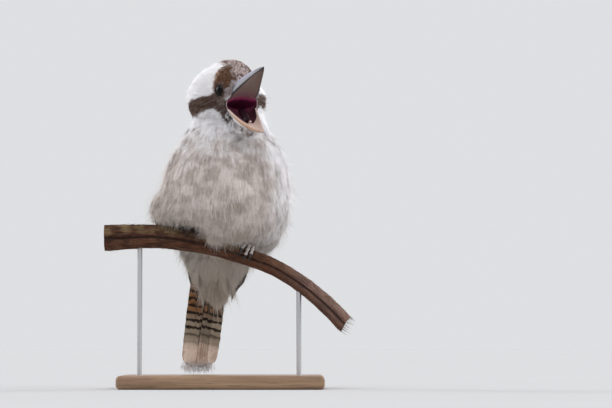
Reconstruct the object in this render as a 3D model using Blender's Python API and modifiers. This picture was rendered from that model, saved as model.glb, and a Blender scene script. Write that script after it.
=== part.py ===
"""A laughing kookaburra calling from a cut length of dried palm stalk, life size, on a plain display stand.

Metres, +Z up. The bird faces -Y and is turned a little towards +X. The origin is the middle of the
base's underside. The bird's frame has its feet over the stalk and its face towards -Y. The head's frame
has its origin midway between the corners of the gape, the bill along -Y and the bird's left along +X.
"""

import math

import bmesh
import bpy
import numpy as np
from mathutils import Euler, Matrix, Vector

GAP = 0.0003  # air between solids that touch
FOR_FEATHERS = "MANIFOLD"  # solver for the body and its feathers, where EXACT leaves open seams

# Where things stand
PERCH_Y = -0.022
BIRD_PLACE = (0.008, PERCH_Y, 0.0)
BIRD_YAW = math.radians(16)
GAPE_PLACE = (0.0208, PERCH_Y - 0.037, 0.3305)
HEAD_PITCH = math.radians(16)
HEAD_ROLL = math.radians(4)
HEAD_YAW = math.radians(26)
BILL_LIFT = math.radians(11)
JAW_DROP = math.radians(48)

# Trunk of the body as level sections: height, middle, half width, depth to the front, depth to the back
TRUNK = (
    (0.0970, 0.072, 0.0125, 0.0110, 0.0110),
    (0.1060, 0.068, 0.0175, 0.0165, 0.0160),
    (0.1160, 0.0645, 0.0195, 0.0205, 0.0205),
    (0.1260, 0.061, 0.0275, 0.0250, 0.0250),
    (0.1450, 0.053, 0.0375, 0.0310, 0.0330),
    (0.1640, 0.043, 0.0540, 0.0400, 0.0430),
    (0.1760, 0.034, 0.0660, 0.0560, 0.0500),
    (0.1880, 0.028, 0.0725, 0.0680, 0.0540),
    (0.2020, 0.023, 0.0750, 0.0720, 0.0560),
    (0.2180, 0.018, 0.0760, 0.0720, 0.0570),
    (0.2330, 0.014, 0.0745, 0.0700, 0.0560),
    (0.2500, 0.011, 0.0715, 0.0660, 0.0545),
    (0.2680, 0.008, 0.0668, 0.0600, 0.0510),
    (0.2910, 0.004, 0.0540, 0.0490, 0.0440),
    (0.3080, 0.002, 0.0440, 0.0410, 0.0380),
    (0.3250, 0.001, 0.0380, 0.0320, 0.0320),
)
TRUNK_SIDES = 48
TRUNK_RINGS = 44
FLESH_GRAIN = 0.0030  # the grid on which trunk, head and chin are fused
FLESH_SHARE = 0.058  # share of its faces that the fused body keeps
WING_BED = 0.090  # share of its width that the trunk gives up under the wings
WING_BED_ANGLES = (110, 126)
# Swellings and hollows of the flanks: side, amount, height, its reach, angle from the breast, its reach
FLANKS = (
    (-1, 0.0115, 0.207, 0.0210, 104, 20),
    (-1, -0.0045, 0.157, 0.0090, 100, 34),
    (1, 0.0060, 0.166, 0.0090, 74, 30),
)
# The vent hangs a little to the bird's left: how far, and the heights between which it swings there
VENT_ASIDE = 0.0045
VENT_HEIGHTS = (0.097, 0.122)
# The belly ends higher over the right foot: share of its width given up, and heights and angles for that
LAP = 0.44
LAP_END = (0.1860, 0.1990)
LAP_START = (0.150, 0.172)
LAP_ANGLES = (-114, -96, -46, -32)

# Head as sections square to its length: distance ahead of the gape, top, bottom, widest level, half width
HEAD = (
    (-0.0680, 0.034, 0.000, 0.018, 0.0230),
    (-0.0580, 0.045, -0.010, 0.019, 0.0350),
    (-0.0440, 0.0510, -0.015, 0.020, 0.0425),
    (-0.0290, 0.0545, -0.019, 0.020, 0.0435),
    (-0.0150, 0.0560, -0.020, 0.019, 0.0368),
    (-0.0040, 0.0556, -0.019, 0.017, 0.0278),
    (0.0060, 0.0524, -0.017, 0.014, 0.0230),
    (0.0150, 0.0464, -0.012, 0.012, 0.0206),
    (0.0220, 0.0345, -0.004, 0.011, 0.0172),
)
HEAD_BACK = (-0.0730, 0.018)
HEAD_FRONT = (0.0270, 0.012)
HEAD_SQUARE = 0.84  # under 1 squares the sections off
HEAD_RINGS = 18
HEAD_SIDES = 28
CHIN_MIDDLE = (0.0, -0.0030, -0.0215)
CHIN_HALF = (0.0185, 0.0310, 0.0135)

# Bills as sections along their length: distance from the gape, half width, height or depth
UPPER_BILL = (
    (0.0020, 0.0183, 0.0075),
    (0.0100, 0.0178, 0.0125),
    (0.0220, 0.0163, 0.0165),
    (0.0350, 0.0134, 0.0150),
    (0.0500, 0.0096, 0.0114),
    (0.0640, 0.0060, 0.0072),
    (0.0740, 0.0031, 0.0038),
    (0.0790, 0.0013, 0.0016),
)
UPPER_TIP = 0.0815
LOWER_BILL = (
    (0.0020, 0.0181, 0.0070),
    (0.0100, 0.0177, 0.0088),
    (0.0220, 0.0156, 0.0094),
    (0.0350, 0.0126, 0.0086),
    (0.0470, 0.0091, 0.0068),
    (0.0590, 0.0056, 0.0045),
    (0.0670, 0.0029, 0.0026),
    (0.0710, 0.0012, 0.0013),
)
LOWER_TIP = 0.0722
PALATE_HOLLOW = 0.0040
TROUGH_HOLLOW = 0.0042
HOLLOW_SHARES = (0.82, 0.45, 0.0, -0.45, -0.82)  # where the inner side's points stand across the bill
HOLLOW_EDGE = 0.9  # share of the half width where the hollow ends
FULL_HOLLOW = 0.009  # a bill this thick has its whole hollow
TIP_DROOP = 0.0012  # how far a bill's tip bends towards the other bill
LOWER_SAG = 0.0034  # how far the lower bill's length sags in its middle
BILL_RINGS = 12

EYE_RADIUS = 0.0072
EYE_MIDDLE = (0.0196, -0.0030, 0.0156)
GAZE = (0.93, -0.34, 0.10)
LID_RING = 0.0060
LID_THICK = 0.0010
LID_FLAT = 0.86  # height of the eye's opening for its width

NOSTRIL_PLACE = (0.0098, -0.0270, 0.0112)
NOSTRIL_HALF = (0.0010, 0.0036, 0.0009)
TONGUE_MIDDLE = (0, -0.0175, -0.0036)
TONGUE_HALF = (0.0052, 0.0135, 0.0017)

TAIL_LEAN = math.radians(25)
TAIL_SWING = math.radians(3)  # towards the bird's right
TAIL_ROOT = (-0.0050, 0.0610, 0.1260)
TAIL_LONG = 0.1165  # from the root down the tail to its longest tips
TAIL_WIDER = 0.0050  # how much further out the right side's feathers start
TAIL_ARCH = 4.0  # how far the tail's edges drop, per metre squared from its middle
# Tail feathers in pairs from the middle out: across, half width, height on the right and left, shortfall
TAIL_PAIRS = (
    (0.0036, 0.0076, 0.0092, 0.0082, 0.0000),
    (0.0060, 0.0074, 0.0072, 0.0062, 0.0006),
    (0.0084, 0.0071, 0.0052, 0.0052, 0.0016),
    (0.0107, 0.0069, 0.0042, 0.0042, 0.0030),
    (0.0130, 0.0067, 0.0032, 0.0032, 0.0048),
    (0.0152, 0.0066, 0.0022, 0.0022, 0.0072),
)
# Coverts of the tail: place down at root and tip, across at root and tip, height at root and tip
VENT_COVERTS = (
    (0.004, 0.046, 0.002, 0.0030, -0.0180, -0.0042),
    (0.004, 0.037, -0.007, -0.0100, -0.0170, -0.0056),
    (0.004, 0.038, 0.010, 0.0140, -0.0170, -0.0056),
    (0.002, 0.026, 0.007, 0.0085, -0.0205, -0.0140),
    (0.002, 0.025, -0.003, -0.0035, -0.0205, -0.0140),
)
RUMP_COVERTS = (
    (0.004, 0.050, 0.000, 0.0000, 0.0145, 0.0118),
    (0.002, 0.042, -0.008, -0.0105, 0.0140, 0.0112),
    (0.002, 0.043, 0.008, 0.0105, 0.0140, 0.0112),
    (0.002, 0.032, 0.000, 0.0000, 0.0170, 0.0142),
)

# Stalk as sections from its left end: place across, height, radius
STALK = (
    (-0.1370, 0.1762, 0.0160),
    (-0.0845, 0.1781, 0.0143),
    (-0.0375, 0.1732, 0.0133),
    (0.0094, 0.1615, 0.0115),
    (0.0330, 0.1528, 0.0104),
    (0.0560, 0.1442, 0.0101),
    (0.0800, 0.1310, 0.0101),
    (0.1030, 0.1147, 0.0103),
    (0.1264, 0.0942, 0.0108),
    (0.1440, 0.0760, 0.0108),
)
STALK_STEPS = 24
TOE_GROOVE = 0.0078  # how far the belly stands off the stalk
# Feet: place across, and angle behind the stalk's crest
FOOT_PLACES = {"right": (-0.0420, 0.85), "left": (0.0275, 0.35)}

BASE_SIZE = (0.240, 0.164, 0.016)
BASE_EDGE = 0.005
ROD_RADIUS = 0.003
ROD_PLACES = (-0.0960, 0.0900)
ROD_SOCKET = 0.007


def smooth_read(stations, at):
    """The columns of a table of stations at one place, by cubic curves that don't overshoot."""
    table = np.array(stations, float)
    place, values = table[:, 0], table[:, 1:]
    at = min(max(at, place[0]), place[-1])
    steps = np.diff(place)[:, None]
    slopes = np.diff(values, axis=0) / steps
    product = slopes[1:] * slopes[:-1]
    inner = np.where(product > 0, 2 * product / (slopes[1:] + slopes[:-1] + 1e-12), 0)
    tangents = np.vstack([slopes[:1], inner, slopes[-1:]])
    k = min(int(np.searchsorted(place, at, side="right")) - 1, len(place) - 2)
    width = place[k + 1] - place[k]
    u = (at - place[k]) / width
    return (
        (2 * u**3 - 3 * u**2 + 1) * values[k]
        + (u**3 - 2 * u**2 + u) * width * tangents[k]
        + (3 * u**2 - 2 * u**3) * values[k + 1]
        + (u**3 - u**2) * width * tangents[k + 1]
    )


def ease(value, low, high):
    """0 below low, 1 above high and a smooth step between."""
    u = min(max((value - low) / (high - low), 0.0), 1.0)
    return u * u * (3 - 2 * u)


def clear_scene():
    for old in list(bpy.data.objects):
        bpy.data.objects.remove(old, do_unlink=True)


def new_collection(name, hidden=False):
    made = bpy.data.collections.new(name)
    bpy.context.scene.collection.children.link(made)
    made.hide_render = hidden
    return made


def material(name, colour, roughness, metallic=0.0):
    made = bpy.data.materials.new(name)
    made.use_nodes = True
    shader = made.node_tree.nodes["Principled BSDF"]
    shader.inputs["Base Color"].default_value = (*colour, 1)
    shader.inputs["Roughness"].default_value = roughness
    shader.inputs["Metallic"].default_value = metallic
    return made


def frame(name, place, turn=(0, 0, 0)):
    """An empty that carries pieces modelled in its own axes."""
    empty = bpy.data.objects.new(name, None)
    PARTS.objects.link(empty)
    empty.location = place
    empty.rotation_euler = Euler(turn)
    bpy.context.view_layer.update()
    return empty


def piece(name, shape, carrier=None, finish=None):
    """An object from a bmesh, carried by a frame, with its own material."""
    mesh = bpy.data.meshes.new(name)
    shape.to_mesh(mesh)
    shape.free()
    made = bpy.data.objects.new(name, mesh)
    PARTS.objects.link(made)
    made.parent = carrier
    if finish:
        mesh.materials.append(finish)
    bpy.context.view_layer.update()
    return made


def settle(obj):
    """Applies the object's modifiers."""
    bpy.context.view_layer.update()
    graph = bpy.context.evaluated_depsgraph_get()
    mesh = bpy.data.meshes.new_from_object(obj.evaluated_get(graph))
    obj.modifiers.clear()
    obj.data = mesh
    bpy.context.view_layer.update()
    return obj


def copy_of(obj, name):
    made = obj.copy()
    made.data = obj.data.copy()
    made.name = name
    PARTS.objects.link(made)
    bpy.context.view_layer.update()
    return made


def keep_largest(obj):
    """Leaves only the surface that reaches furthest, so that no sealed hollow or loose scrap stays."""
    shape = bmesh.new()
    shape.from_mesh(obj.data)
    left, surfaces = set(shape.verts), []
    while left:
        found, edge = set(), [left.pop()]
        while edge:
            vert = edge.pop()
            found.add(vert)
            for link in vert.link_edges:
                other = link.other_vert(vert)
                if other in left:
                    left.discard(other)
                    edge.append(other)
        surfaces.append(found)
    spans = []
    for surface in surfaces:
        start = next(iter(surface))
        spans.append(max((start.co - vert.co).length for vert in surface))
    best = surfaces[int(np.argmax(spans))]
    bmesh.ops.delete(shape, geom=[v for v in shape.verts if v not in best], context="VERTS")
    shape.to_mesh(obj.data)
    shape.free()


def boolean(obj, others, operation, solver):
    """Cuts others from obj, joins them to it or keeps what they share, then removes them."""
    group = new_collection(obj.name + "_tools", hidden=True)
    for other in others:
        group.objects.link(other)
    step = obj.modifiers.new(operation.lower(), "BOOLEAN")
    step.operation = operation
    step.operand_type = "COLLECTION"
    step.collection = group
    step.solver = solver
    settle(obj)
    for other in others:
        bpy.data.objects.remove(other, do_unlink=True)
    bpy.data.collections.remove(group)
    keep_largest(obj)
    return obj


def join(obj, others, solver="EXACT"):
    return boolean(obj, others, "UNION", solver)


def cut(obj, cutter, solver="EXACT"):
    return boolean(obj, [cutter], "DIFFERENCE", solver)


def grown_in_place(obj, by):
    step = obj.modifiers.new("grow", "DISPLACE")
    step.strength = by
    step.mid_level = 0
    return settle(obj)


def grown(obj, by):
    """A cutter that stands off the object's surface by the same distance all round."""
    return grown_in_place(copy_of(obj, obj.name + "_grown"), by)


def loft(rings, first=None, last=None):
    """A closed skin over rings of points, each end closed on its own middle point or on the one given."""
    shape = bmesh.new()
    loops = [[shape.verts.new(point) for point in ring] for ring in rings]
    count = len(loops[0])
    for lower, upper in zip(loops, loops[1:]):
        for k in range(count):
            n = (k + 1) % count
            shape.faces.new((lower[k], lower[n], upper[n], upper[k]))
    for loop, ring, end, turned in ((loops[0], rings[0], first, True), (loops[-1], rings[-1], last, False)):
        middle = shape.verts.new(np.mean(np.array(ring), axis=0) if end is None else end)
        for k in range(count):
            pair = (loop[k], loop[(k + 1) % count])
            shape.faces.new((*(reversed(pair) if turned else pair), middle))
    bmesh.ops.recalc_face_normals(shape, faces=shape.faces)
    return shape


def ball(middle, half, segments=16, rings=10, turn=(0, 0, 0)):
    """A bmesh ellipsoid."""
    shape = bmesh.new()
    place = Matrix.Translation(middle) @ Euler(turn).to_matrix().to_4x4() @ Matrix.Diagonal((*half, 1))
    bmesh.ops.create_uvsphere(shape, u_segments=segments, v_segments=rings, radius=1, matrix=place)
    return shape


def block(middle, size, turn=(0, 0, 0)):
    """A bmesh box."""
    shape = bmesh.new()
    place = Matrix.Translation(middle) @ Euler(turn).to_matrix().to_4x4() @ Matrix.Diagonal((*size, 1))
    bmesh.ops.create_cube(shape, size=1, matrix=place)
    return shape


def vane(place, rows, width_at, thick, camber):
    """One feather: a leaf three points wide, split into triangles before it gets its thickness.

    place(along, across, lift) gives a point, with across in metres from the shaft.
    """
    shape = bmesh.new()
    bmesh.ops.create_grid(shape, x_segments=2, y_segments=rows, size=1)
    for vert in shape.verts:
        side, along = vert.co.x, 1 - (0.5 - vert.co.y / 2) ** 1.4
        vert.co = place(along, side * width_at(along), camber * (1 - abs(side)))
    bmesh.ops.triangulate(shape, faces=shape.faces)
    bmesh.ops.recalc_face_normals(shape, faces=shape.faces)
    bmesh.ops.solidify(shape, geom=shape.faces[:], thickness=thick)
    bmesh.ops.triangulate(shape, faces=shape.faces)
    bmesh.ops.recalc_face_normals(shape, faces=shape.faces)
    return shape


def leaf(half, root=0.55, tip=0.30, full=0.45):
    """The half width along a feather: narrow at its root, widest at full and rounded at its tip."""

    def width_at(along):
        if along < full:
            return half * (root + (1 - root) * math.sin(math.pi / 2 * along / full))
        past = (along - full) / (1 - full)
        return half * (tip + (1 - tip) * math.sqrt(max(0.0, 1 - past**3)))

    return width_at


def trunk_point(height, angle, lift=0.0):
    """A point on the trunk in the bird's frame. Angle 0 is the breast, 90 its left side, 180 the back."""
    middle, half, front, back = smooth_read(TRUNK, height)
    turn = math.radians(angle)
    across, ahead = math.sin(turn), math.cos(turn)
    signed = (angle + 180) % 360 - 180
    half *= 1 - WING_BED * ease(abs(signed), *WING_BED_ANGLES)
    for flank, amount, level, tall, where, wide in FLANKS:
        if across * flank > 0:
            near = ((height - level) / tall) ** 2 + ((abs(signed) - where) / wide) ** 2
            half += amount * math.exp(-near)
    depth = front if ahead > 0 else back
    lap = ease(signed, *LAP_ANGLES[:2]) * (1 - ease(signed, *LAP_ANGLES[2:]))
    lap *= (1 - ease(height, *LAP_END)) * ease(height, *LAP_START)
    half *= 1 - LAP * lap
    depth *= 1 - LAP * lap
    aside = VENT_ASIDE * (1 - ease(height, *VENT_HEIGHTS))
    return Vector((aside + across * (half + lift), middle - ahead * (depth + lift), height))


def trunk_form():
    low, high = TRUNK[0][0], TRUNK[-1][0]
    rings = [
        [trunk_point(height, 360 * k / TRUNK_SIDES) for k in range(TRUNK_SIDES)]
        for height in np.linspace(low, high, TRUNK_RINGS)
    ]
    return loft(rings)


def head_form():
    rings = []
    for ahead in np.linspace(HEAD[0][0], HEAD[-1][0], HEAD_RINGS):
        top, bottom, level, half = smooth_read(HEAD, ahead)
        ring = []
        for k in range(HEAD_SIDES):
            turn = 2 * math.pi * k / HEAD_SIDES
            rise = math.copysign(abs(math.cos(turn)) ** HEAD_SQUARE, math.cos(turn))
            wide = math.copysign(abs(math.sin(turn)) ** HEAD_SQUARE, math.sin(turn))
            reach = top - level if rise > 0 else level - bottom
            ring.append((half * wide, -ahead, level + rise * reach))
        rings.append(ring)
    ends = [(0, -ahead, level) for ahead, level in (HEAD_BACK, HEAD_FRONT)]
    return loft(rings, *ends)


def flesh_form():
    """Trunk, neck, head and chin fused into one smooth body, in the bird's frame."""
    body = piece("flesh", trunk_form(), BIRD)
    head = piece("cranium", head_form(), SKULL)
    chin = piece("chin", ball(CHIN_MIDDLE, CHIN_HALF, 20, 12, (JAW_DROP, 0, 0)), SKULL)
    join(body, [head, chin])
    fuse = body.modifiers.new("fuse", "REMESH")
    fuse.mode = "VOXEL"
    fuse.voxel_size = FLESH_GRAIN
    soften = body.modifiers.new("soften", "SMOOTH")
    soften.factor = 0.5
    soften.iterations = 7
    thin = body.modifiers.new("thin", "DECIMATE")
    thin.ratio = FLESH_SHARE
    thin.use_collapse_triangulate = True
    return settle(body)


def bill_ring(distance, half, outer, hollow, side, grow):
    """One section of a bill: the outer side over the ridge, then back across the hollow inner side.

    side is 1 for the upper bill and -1 for the lower.
    """
    half, outer = half + grow, outer + 2 * grow
    ring = []
    for k in range(9):
        turn = math.pi * (1 - k / 8)
        ring.append((half * math.cos(turn), side * (outer * math.sin(turn) ** 0.85 - grow)))
    for share in HOLLOW_SHARES:
        depth = hollow * (1 - (abs(share) / HOLLOW_EDGE) ** 2)
        ring.append((share * half, side * (depth - grow)))
    return [(x, -distance, z) for x, z in ring]


def bill_form(stations, tip, hollow, side, turn, sag, grow=0.0):
    """A bill in the head's frame, hinged at the gape. Its tip bends a little towards the other bill."""
    first, last = stations[0][0], stations[-1][0]
    rings = []
    for distance in np.linspace(first, last, BILL_RINGS):
        half, outer = smooth_read(stations, distance)
        scoop = hollow * min(1.0, outer / FULL_HOLLOW) * ease(last - distance, 0.0, 0.02)
        share = distance / tip
        drop = side * TIP_DROOP * share**4 + sag * 4 * share * (1 - share)
        rings.append([(x, y, z - drop) for x, y, z in bill_ring(distance, half, outer, scoop, side, grow)])
    back = [(x, y + grow, z) for x, y, z in rings[0]]
    shape = loft([back, *rings[1:]], None, (0, -tip - grow, -side * TIP_DROOP / 2))
    bmesh.ops.rotate(shape, verts=shape.verts, matrix=Euler((turn, 0, 0)).to_matrix())
    return shape


def upper_bill(grow=0.0):
    return bill_form(UPPER_BILL, UPPER_TIP, PALATE_HOLLOW, 1, -BILL_LIFT, 0.0, grow)


def lower_bill(grow=0.0, sag=LOWER_SAG):
    return bill_form(LOWER_BILL, LOWER_TIP, TROUGH_HOLLOW, -1, JAW_DROP, sag, grow)


# Lining of the mouth: distance ahead of the gape, level, half width, height above, depth below and how far
# its roof and floor are swept back
LINING = (
    (0.0010, -0.0010, 0.0172, 0.0062, 0.0080, 0.0100),
    (-0.0070, -0.0030, 0.0166, 0.0075, 0.0100, 0.0050),
    (-0.0160, -0.0060, 0.0145, 0.0090, 0.0095, 0.0020),
    (-0.0250, -0.0095, 0.0105, 0.0070, 0.0075, 0.0),
    (-0.0310, -0.0120, 0.0055, 0.0040, 0.0045, 0.0),
)
LINING_THICK = 0.0010
LINING_SIDES = 16


def lining_form(ahead=0.0):
    """The mouth's hollow as a solid, from the throat to its rim and as far ahead of that as given."""
    rings = []
    for place, level, half, above, below, sweep in reversed(LINING):
        ring = []
        for k in range(LINING_SIDES):
            turn = 2 * math.pi * k / LINING_SIDES
            rise = math.sin(turn)
            tall = above if rise > 0 else below
            ring.append((half * math.cos(turn), -place - sweep * abs(rise), level + rise * tall))
        rings.append(ring)
    if ahead:
        rings.append([(x, y - ahead, z) for x, y, z in rings[-1]])
    return loft(rings, (0, -LINING[-1][0] + 0.002, LINING[-1][1]))


def gape_wedge():
    """The open space between the bills, wide enough to cut through both cheeks."""
    reach, half = 0.12, 0.06
    lift, drop = math.tan(BILL_LIFT), math.tan(JAW_DROP)
    side = [(0.0, 0.0), (-reach, reach * lift), (-reach, -reach * drop)]
    return loft([[(x, y, z) for y, z in side] for x in (-half, half)])


def eye_place(side):
    return Vector((side * EYE_MIDDLE[0], EYE_MIDDLE[1], EYE_MIDDLE[2]))


def lid_ring(side):
    """The rim of an eyelid, a ring square to the way the eye looks."""
    gaze = Vector((side * GAZE[0], GAZE[1], GAZE[2])).normalized()
    out = math.sqrt(EYE_RADIUS**2 - (LID_RING - LID_THICK / 2) ** 2)
    turn = gaze.to_track_quat("Z", "Y").to_matrix()
    steps, sides = 18, 6
    rings = []
    for k in range(steps):
        round_eye = 2 * math.pi * k / steps
        ring = []
        for n in range(sides):
            round_rim = 2 * math.pi * n / sides
            reach = LID_RING + LID_THICK * math.cos(round_rim)
            rise = out + LID_THICK * math.sin(round_rim)
            flat = Vector((reach * math.cos(round_eye), LID_FLAT * reach * math.sin(round_eye), rise))
            ring.append(eye_place(side) + turn @ flat)
        rings.append(ring)
    shape = bmesh.new()
    loops = [[shape.verts.new(point) for point in ring] for ring in rings]
    for lower, upper in zip(loops, loops[1:] + loops[:1]):
        for k in range(sides):
            n = (k + 1) % sides
            shape.faces.new((lower[k], lower[n], upper[n], upper[k]))
    bmesh.ops.recalc_face_normals(shape, faces=shape.faces)
    return shape


def half_space(point, normal, carrier, name):
    """A big block that fills the side of a plane that its normal points to."""
    size = 0.6
    turn = Vector(normal).to_track_quat("Z", "Y").to_matrix().to_4x4()
    shape = bmesh.new()
    place = Matrix.Translation(Vector(point)) @ turn @ Matrix.Translation((0, 0, size / 2))
    bmesh.ops.create_cube(shape, size=size, matrix=place)
    return piece(name, shape, carrier)


def part_between(flesh, name, finish, above=None, below=None):
    """The length of the body between two parting planes, each given as a point and its upward normal."""
    made = copy_of(flesh, name)
    made.data.materials.clear()
    made.data.materials.append(finish)
    tools = []
    for plane, away in ((above, -1), (below, 1)):
        if plane:
            point, normal = Vector(plane[0]), Vector(plane[1]).normalized()
            tools.append(half_space(point - away * normal * GAP / 2, away * normal, BIRD, name + "_side"))
    for tool in tools:
        cut(made, tool, FOR_FEATHERS)
    return made


def stalk_at(across):
    height, radius = smooth_read(STALK, across)
    return float(height), float(radius)


def stalk_tangent(across):
    step = 0.0005
    rise = stalk_at(across + step)[0] - stalk_at(across - step)[0]
    return Vector((2 * step, 0, rise)).normalized()


def stalk_sweep(radius_at, sides, section=lambda turn: 1.0, left=STALK[0][0], right=STALK[-1][0]):
    """A skin swept along the stalk. section gives the share of the radius at each angle round it."""
    rings = []
    for across in np.linspace(left, right, STALK_STEPS):
        height, radius = stalk_at(across)
        along = stalk_tangent(across)
        up = Vector((-along.z, 0, along.x))
        middle, reach = Vector((across, 0, height)), radius_at(radius)
        ring = []
        for k in range(sides):
            turn = 2 * math.pi * k / sides
            size = reach * section(turn)
            ring.append(middle + size * (math.cos(turn) * up - math.sin(turn) * Vector((0, 1, 0))))
        rings.append(ring)
    return loft(rings)


def stalk_section(turn):
    """A petiole's outline: round above, flatter below, with a groove along each side."""
    face = math.exp(-(((turn - math.radians(96)) / 0.20) ** 2))
    rear = math.exp(-(((turn - math.radians(264)) / 0.20) ** 2))
    return 1 - 0.13 * face - 0.10 * rear - 0.03 * math.cos(turn) ** 2


def belly_curtain():
    """What the belly's front must not fill: all that lies in front of the stalk, below its upper third."""
    front, back, low = -0.12, 0.004, -0.05
    rings = []
    for across in np.linspace(-0.13, 0.13, 20):
        height, radius = stalk_at(across)
        edge = height + 0.30 * radius
        corners = (front, edge - 0.002), (back, edge), (back, low), (front, low)
        rings.append([(across, y, z) for y, z in corners])
    return loft(rings)


def make_body():
    """Head, neck, trunk and tail core from one fused form, parted by thin cuts."""
    flesh = flesh_form()
    for side in (-1, 1):
        cut(flesh, piece("wing_bed", wing_bed(side), BIRD), FOR_FEATHERS)
        cut(flesh, piece("flight_bed", flight_bed(side), BIRD), FOR_FEATHERS)
    throat_plane = ((0, 0.0, 0.3065), (0, -0.20, 1))
    shoulder_plane = ((0, 0.0, 0.2840), (0, -0.05, 1))
    vent_plane = (TAIL_ROOT, (0, -math.sin(TAIL_LEAN), math.cos(TAIL_LEAN)))
    head = part_between(flesh, "head", FEATHER_WHITE, above=throat_plane)
    neck = part_between(flesh, "neck", FEATHER_WHITE, shoulder_plane, throat_plane)
    torso = part_between(flesh, "torso", FEATHER_WHITE, vent_plane, shoulder_plane)
    tail = part_between(flesh, "tail", FEATHER_RUFOUS, below=vent_plane)
    bpy.data.objects.remove(flesh)
    cut(torso, piece("groove", stalk_sweep(lambda r: r + TOE_GROOVE, 20), STALK_FRAME), FOR_FEATHERS)
    cut(torso, piece("curtain", belly_curtain(), STALK_FRAME), FOR_FEATHERS)
    return head, torso, tail


def make_face(head):
    """Bills, mouth, tongue and eyes, let into the head with the gap that touching solids keep."""
    mouth = piece("mouth", lining_form(), SKULL, MOUTH_SKIN)
    grown_in_place(mouth, LINING_THICK)
    mouth_fit = grown(mouth, GAP)
    throat = piece("throat", lining_form(0.02), SKULL)
    grown_in_place(throat, LINING_THICK + GAP)
    cut(mouth, piece("hollow", lining_form(0.005), SKULL))
    beds = [gape_wedge(), upper_bill(GAP), lower_bill(GAP), lower_bill(GAP, 0.0)]
    for tool in [throat, *(piece("bed", shape, SKULL) for shape in beds)]:
        cut(head, tool, FOR_FEATHERS)
    upper = piece("bill_upper", upper_bill(), SKULL, BILL_DARK)
    lower = piece("bill_lower", lower_bill(), SKULL, BILL_PALE)
    cut(upper, copy_of(mouth_fit, "upper_rim"))
    cut(lower, mouth_fit)
    for side in (-1, 1):
        place = (side * NOSTRIL_PLACE[0], NOSTRIL_PLACE[1], NOSTRIL_PLACE[2])
        slit = ball(place, NOSTRIL_HALF, 8, 6, (math.radians(-14), 0, side * 0.16))
        bmesh.ops.rotate(slit, verts=slit.verts, matrix=Euler((-BILL_LIFT, 0, 0)).to_matrix())
        cut(upper, piece("nostril", slit, SKULL))
    tongue_shape = ball(TONGUE_MIDDLE, TONGUE_HALF, 14, 8)
    bmesh.ops.rotate(tongue_shape, verts=tongue_shape.verts, matrix=Euler((JAW_DROP, 0, 0)).to_matrix())
    tongue = piece("tongue", tongue_shape, SKULL, TONGUE_SKIN)
    cut(tongue, grown(mouth, GAP))
    cut(tongue, grown(lower, GAP))
    for side, name in ((-1, "right"), (1, "left")):
        join(head, [piece("lid", lid_ring(side), SKULL)], FOR_FEATHERS)
        socket = ball(eye_place(side), (EYE_RADIUS + GAP * 1.2,) * 3, 18, 12)
        cut(head, piece("socket", socket, SKULL), FOR_FEATHERS)
        piece("eye_" + name, ball(eye_place(side), (EYE_RADIUS,) * 3, 18, 12), SKULL, EYE_DARK)


# Wing in its own two measures: down from the shoulder, 0 to 1, and across from its lower edge to its upper
WING_TOP = 0.287
WING_DROP = 0.187
WING_EDGES = (
    (0.00, 118, 148),
    (0.25, 109, 164),
    (0.50, 108, 171),
    (0.75, 113, 166),
    (1.00, 127, 147),
)
# Degrees by which each wing's lower edge is turned to the back, at the arm and at the tip
WING_TUCK = {-1: (13, 13), 1: (0, -20)}
TIP_LIFT = 0.0085  # how far the wing's tip stands off the trunk
VANE_THICK = 0.0006
BED_DEPTH = 0.0030
BED_ROOF = 0.02  # how far the cutters of the beds reach out of the trunk
FLIGHT_DEPTH = 0.0016
BED_END = 0.50
SHINGLE = 0.00095  # how far a feather lies over the next of its tier
# Tiers of a wing: count, across at the first and last root, across at the first and last tip, down at the
# roots, down at the first and last tip, half width in spaces between feathers, height at root and tip,
# overlap, vane rows
WING_TIERS = (
    (6, 0.16, 0.56, 0.14, 0.74, 0.43, 0.975, 0.855, 1.30, 0.0024, 0.0024, 1, 4),
    (6, 0.14, 0.88, 0.12, 0.90, 0.27, 0.650, 0.700, 1.25, 0.0054, 0.0060, 1, 3),
    (6, 0.12, 0.88, 0.08, 0.92, 0.16, 0.420, 0.430, 0.46, 0.0054, 0.0088, 0, 3),
    (5, 0.16, 0.84, 0.12, 0.88, 0.08, 0.280, 0.290, 0.46, 0.0050, 0.0100, 0, 2),
    (4, 0.26, 0.74, 0.16, 0.84, 0.03, 0.165, 0.170, 0.46, 0.0052, 0.0112, 0, 2),
)


def wing_point(down, across, lift, side):
    """A point of the folded wing's sheet in the bird's frame, lift metres off the trunk."""
    lift += TIP_LIFT * ease(down, 0.70, 0.90)
    lower, upper = smooth_read(WING_EDGES, down)
    first, last = WING_TUCK[side]
    tuck = first + (last - first) * ease(down, 0.60, 0.95)
    angle = lower + tuck * (1 - across) + (upper - lower) * across
    beyond = max(0.0, down - 1.0) * WING_DROP
    return trunk_point(WING_TOP - WING_DROP * min(down, 1.0), side * angle, lift) - Vector((0, 0, beyond))


def wing_span(down):
    """How wide the sheet is there, in metres."""
    return (wing_point(down, 1, 0, 1) - wing_point(down, 0, 0, 1)).length


def wing_vane(side, start, end, half, space, lifts, overlap, rows):
    """A feather on the wing's sheet from one (down, across) to another, at the heights of its root and tip.

    Its half width counts in the spaces between feathers, which go from the root's to the tip's.
    """

    def place(along, across, lift):
        down = start[0] + (end[0] - start[0]) * along
        middle = start[1] + (end[1] - start[1]) * along
        height = lifts[0] + (lifts[1] - lifts[0]) * ease(along, 0.0, 0.35)
        width = across * (space[0] + (space[1] - space[0]) * along)
        return wing_point(down, middle + width, height + lift - overlap * SHINGLE * across, side)

    return vane(place, rows, leaf(half), VANE_THICK, 0.0002)


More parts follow.
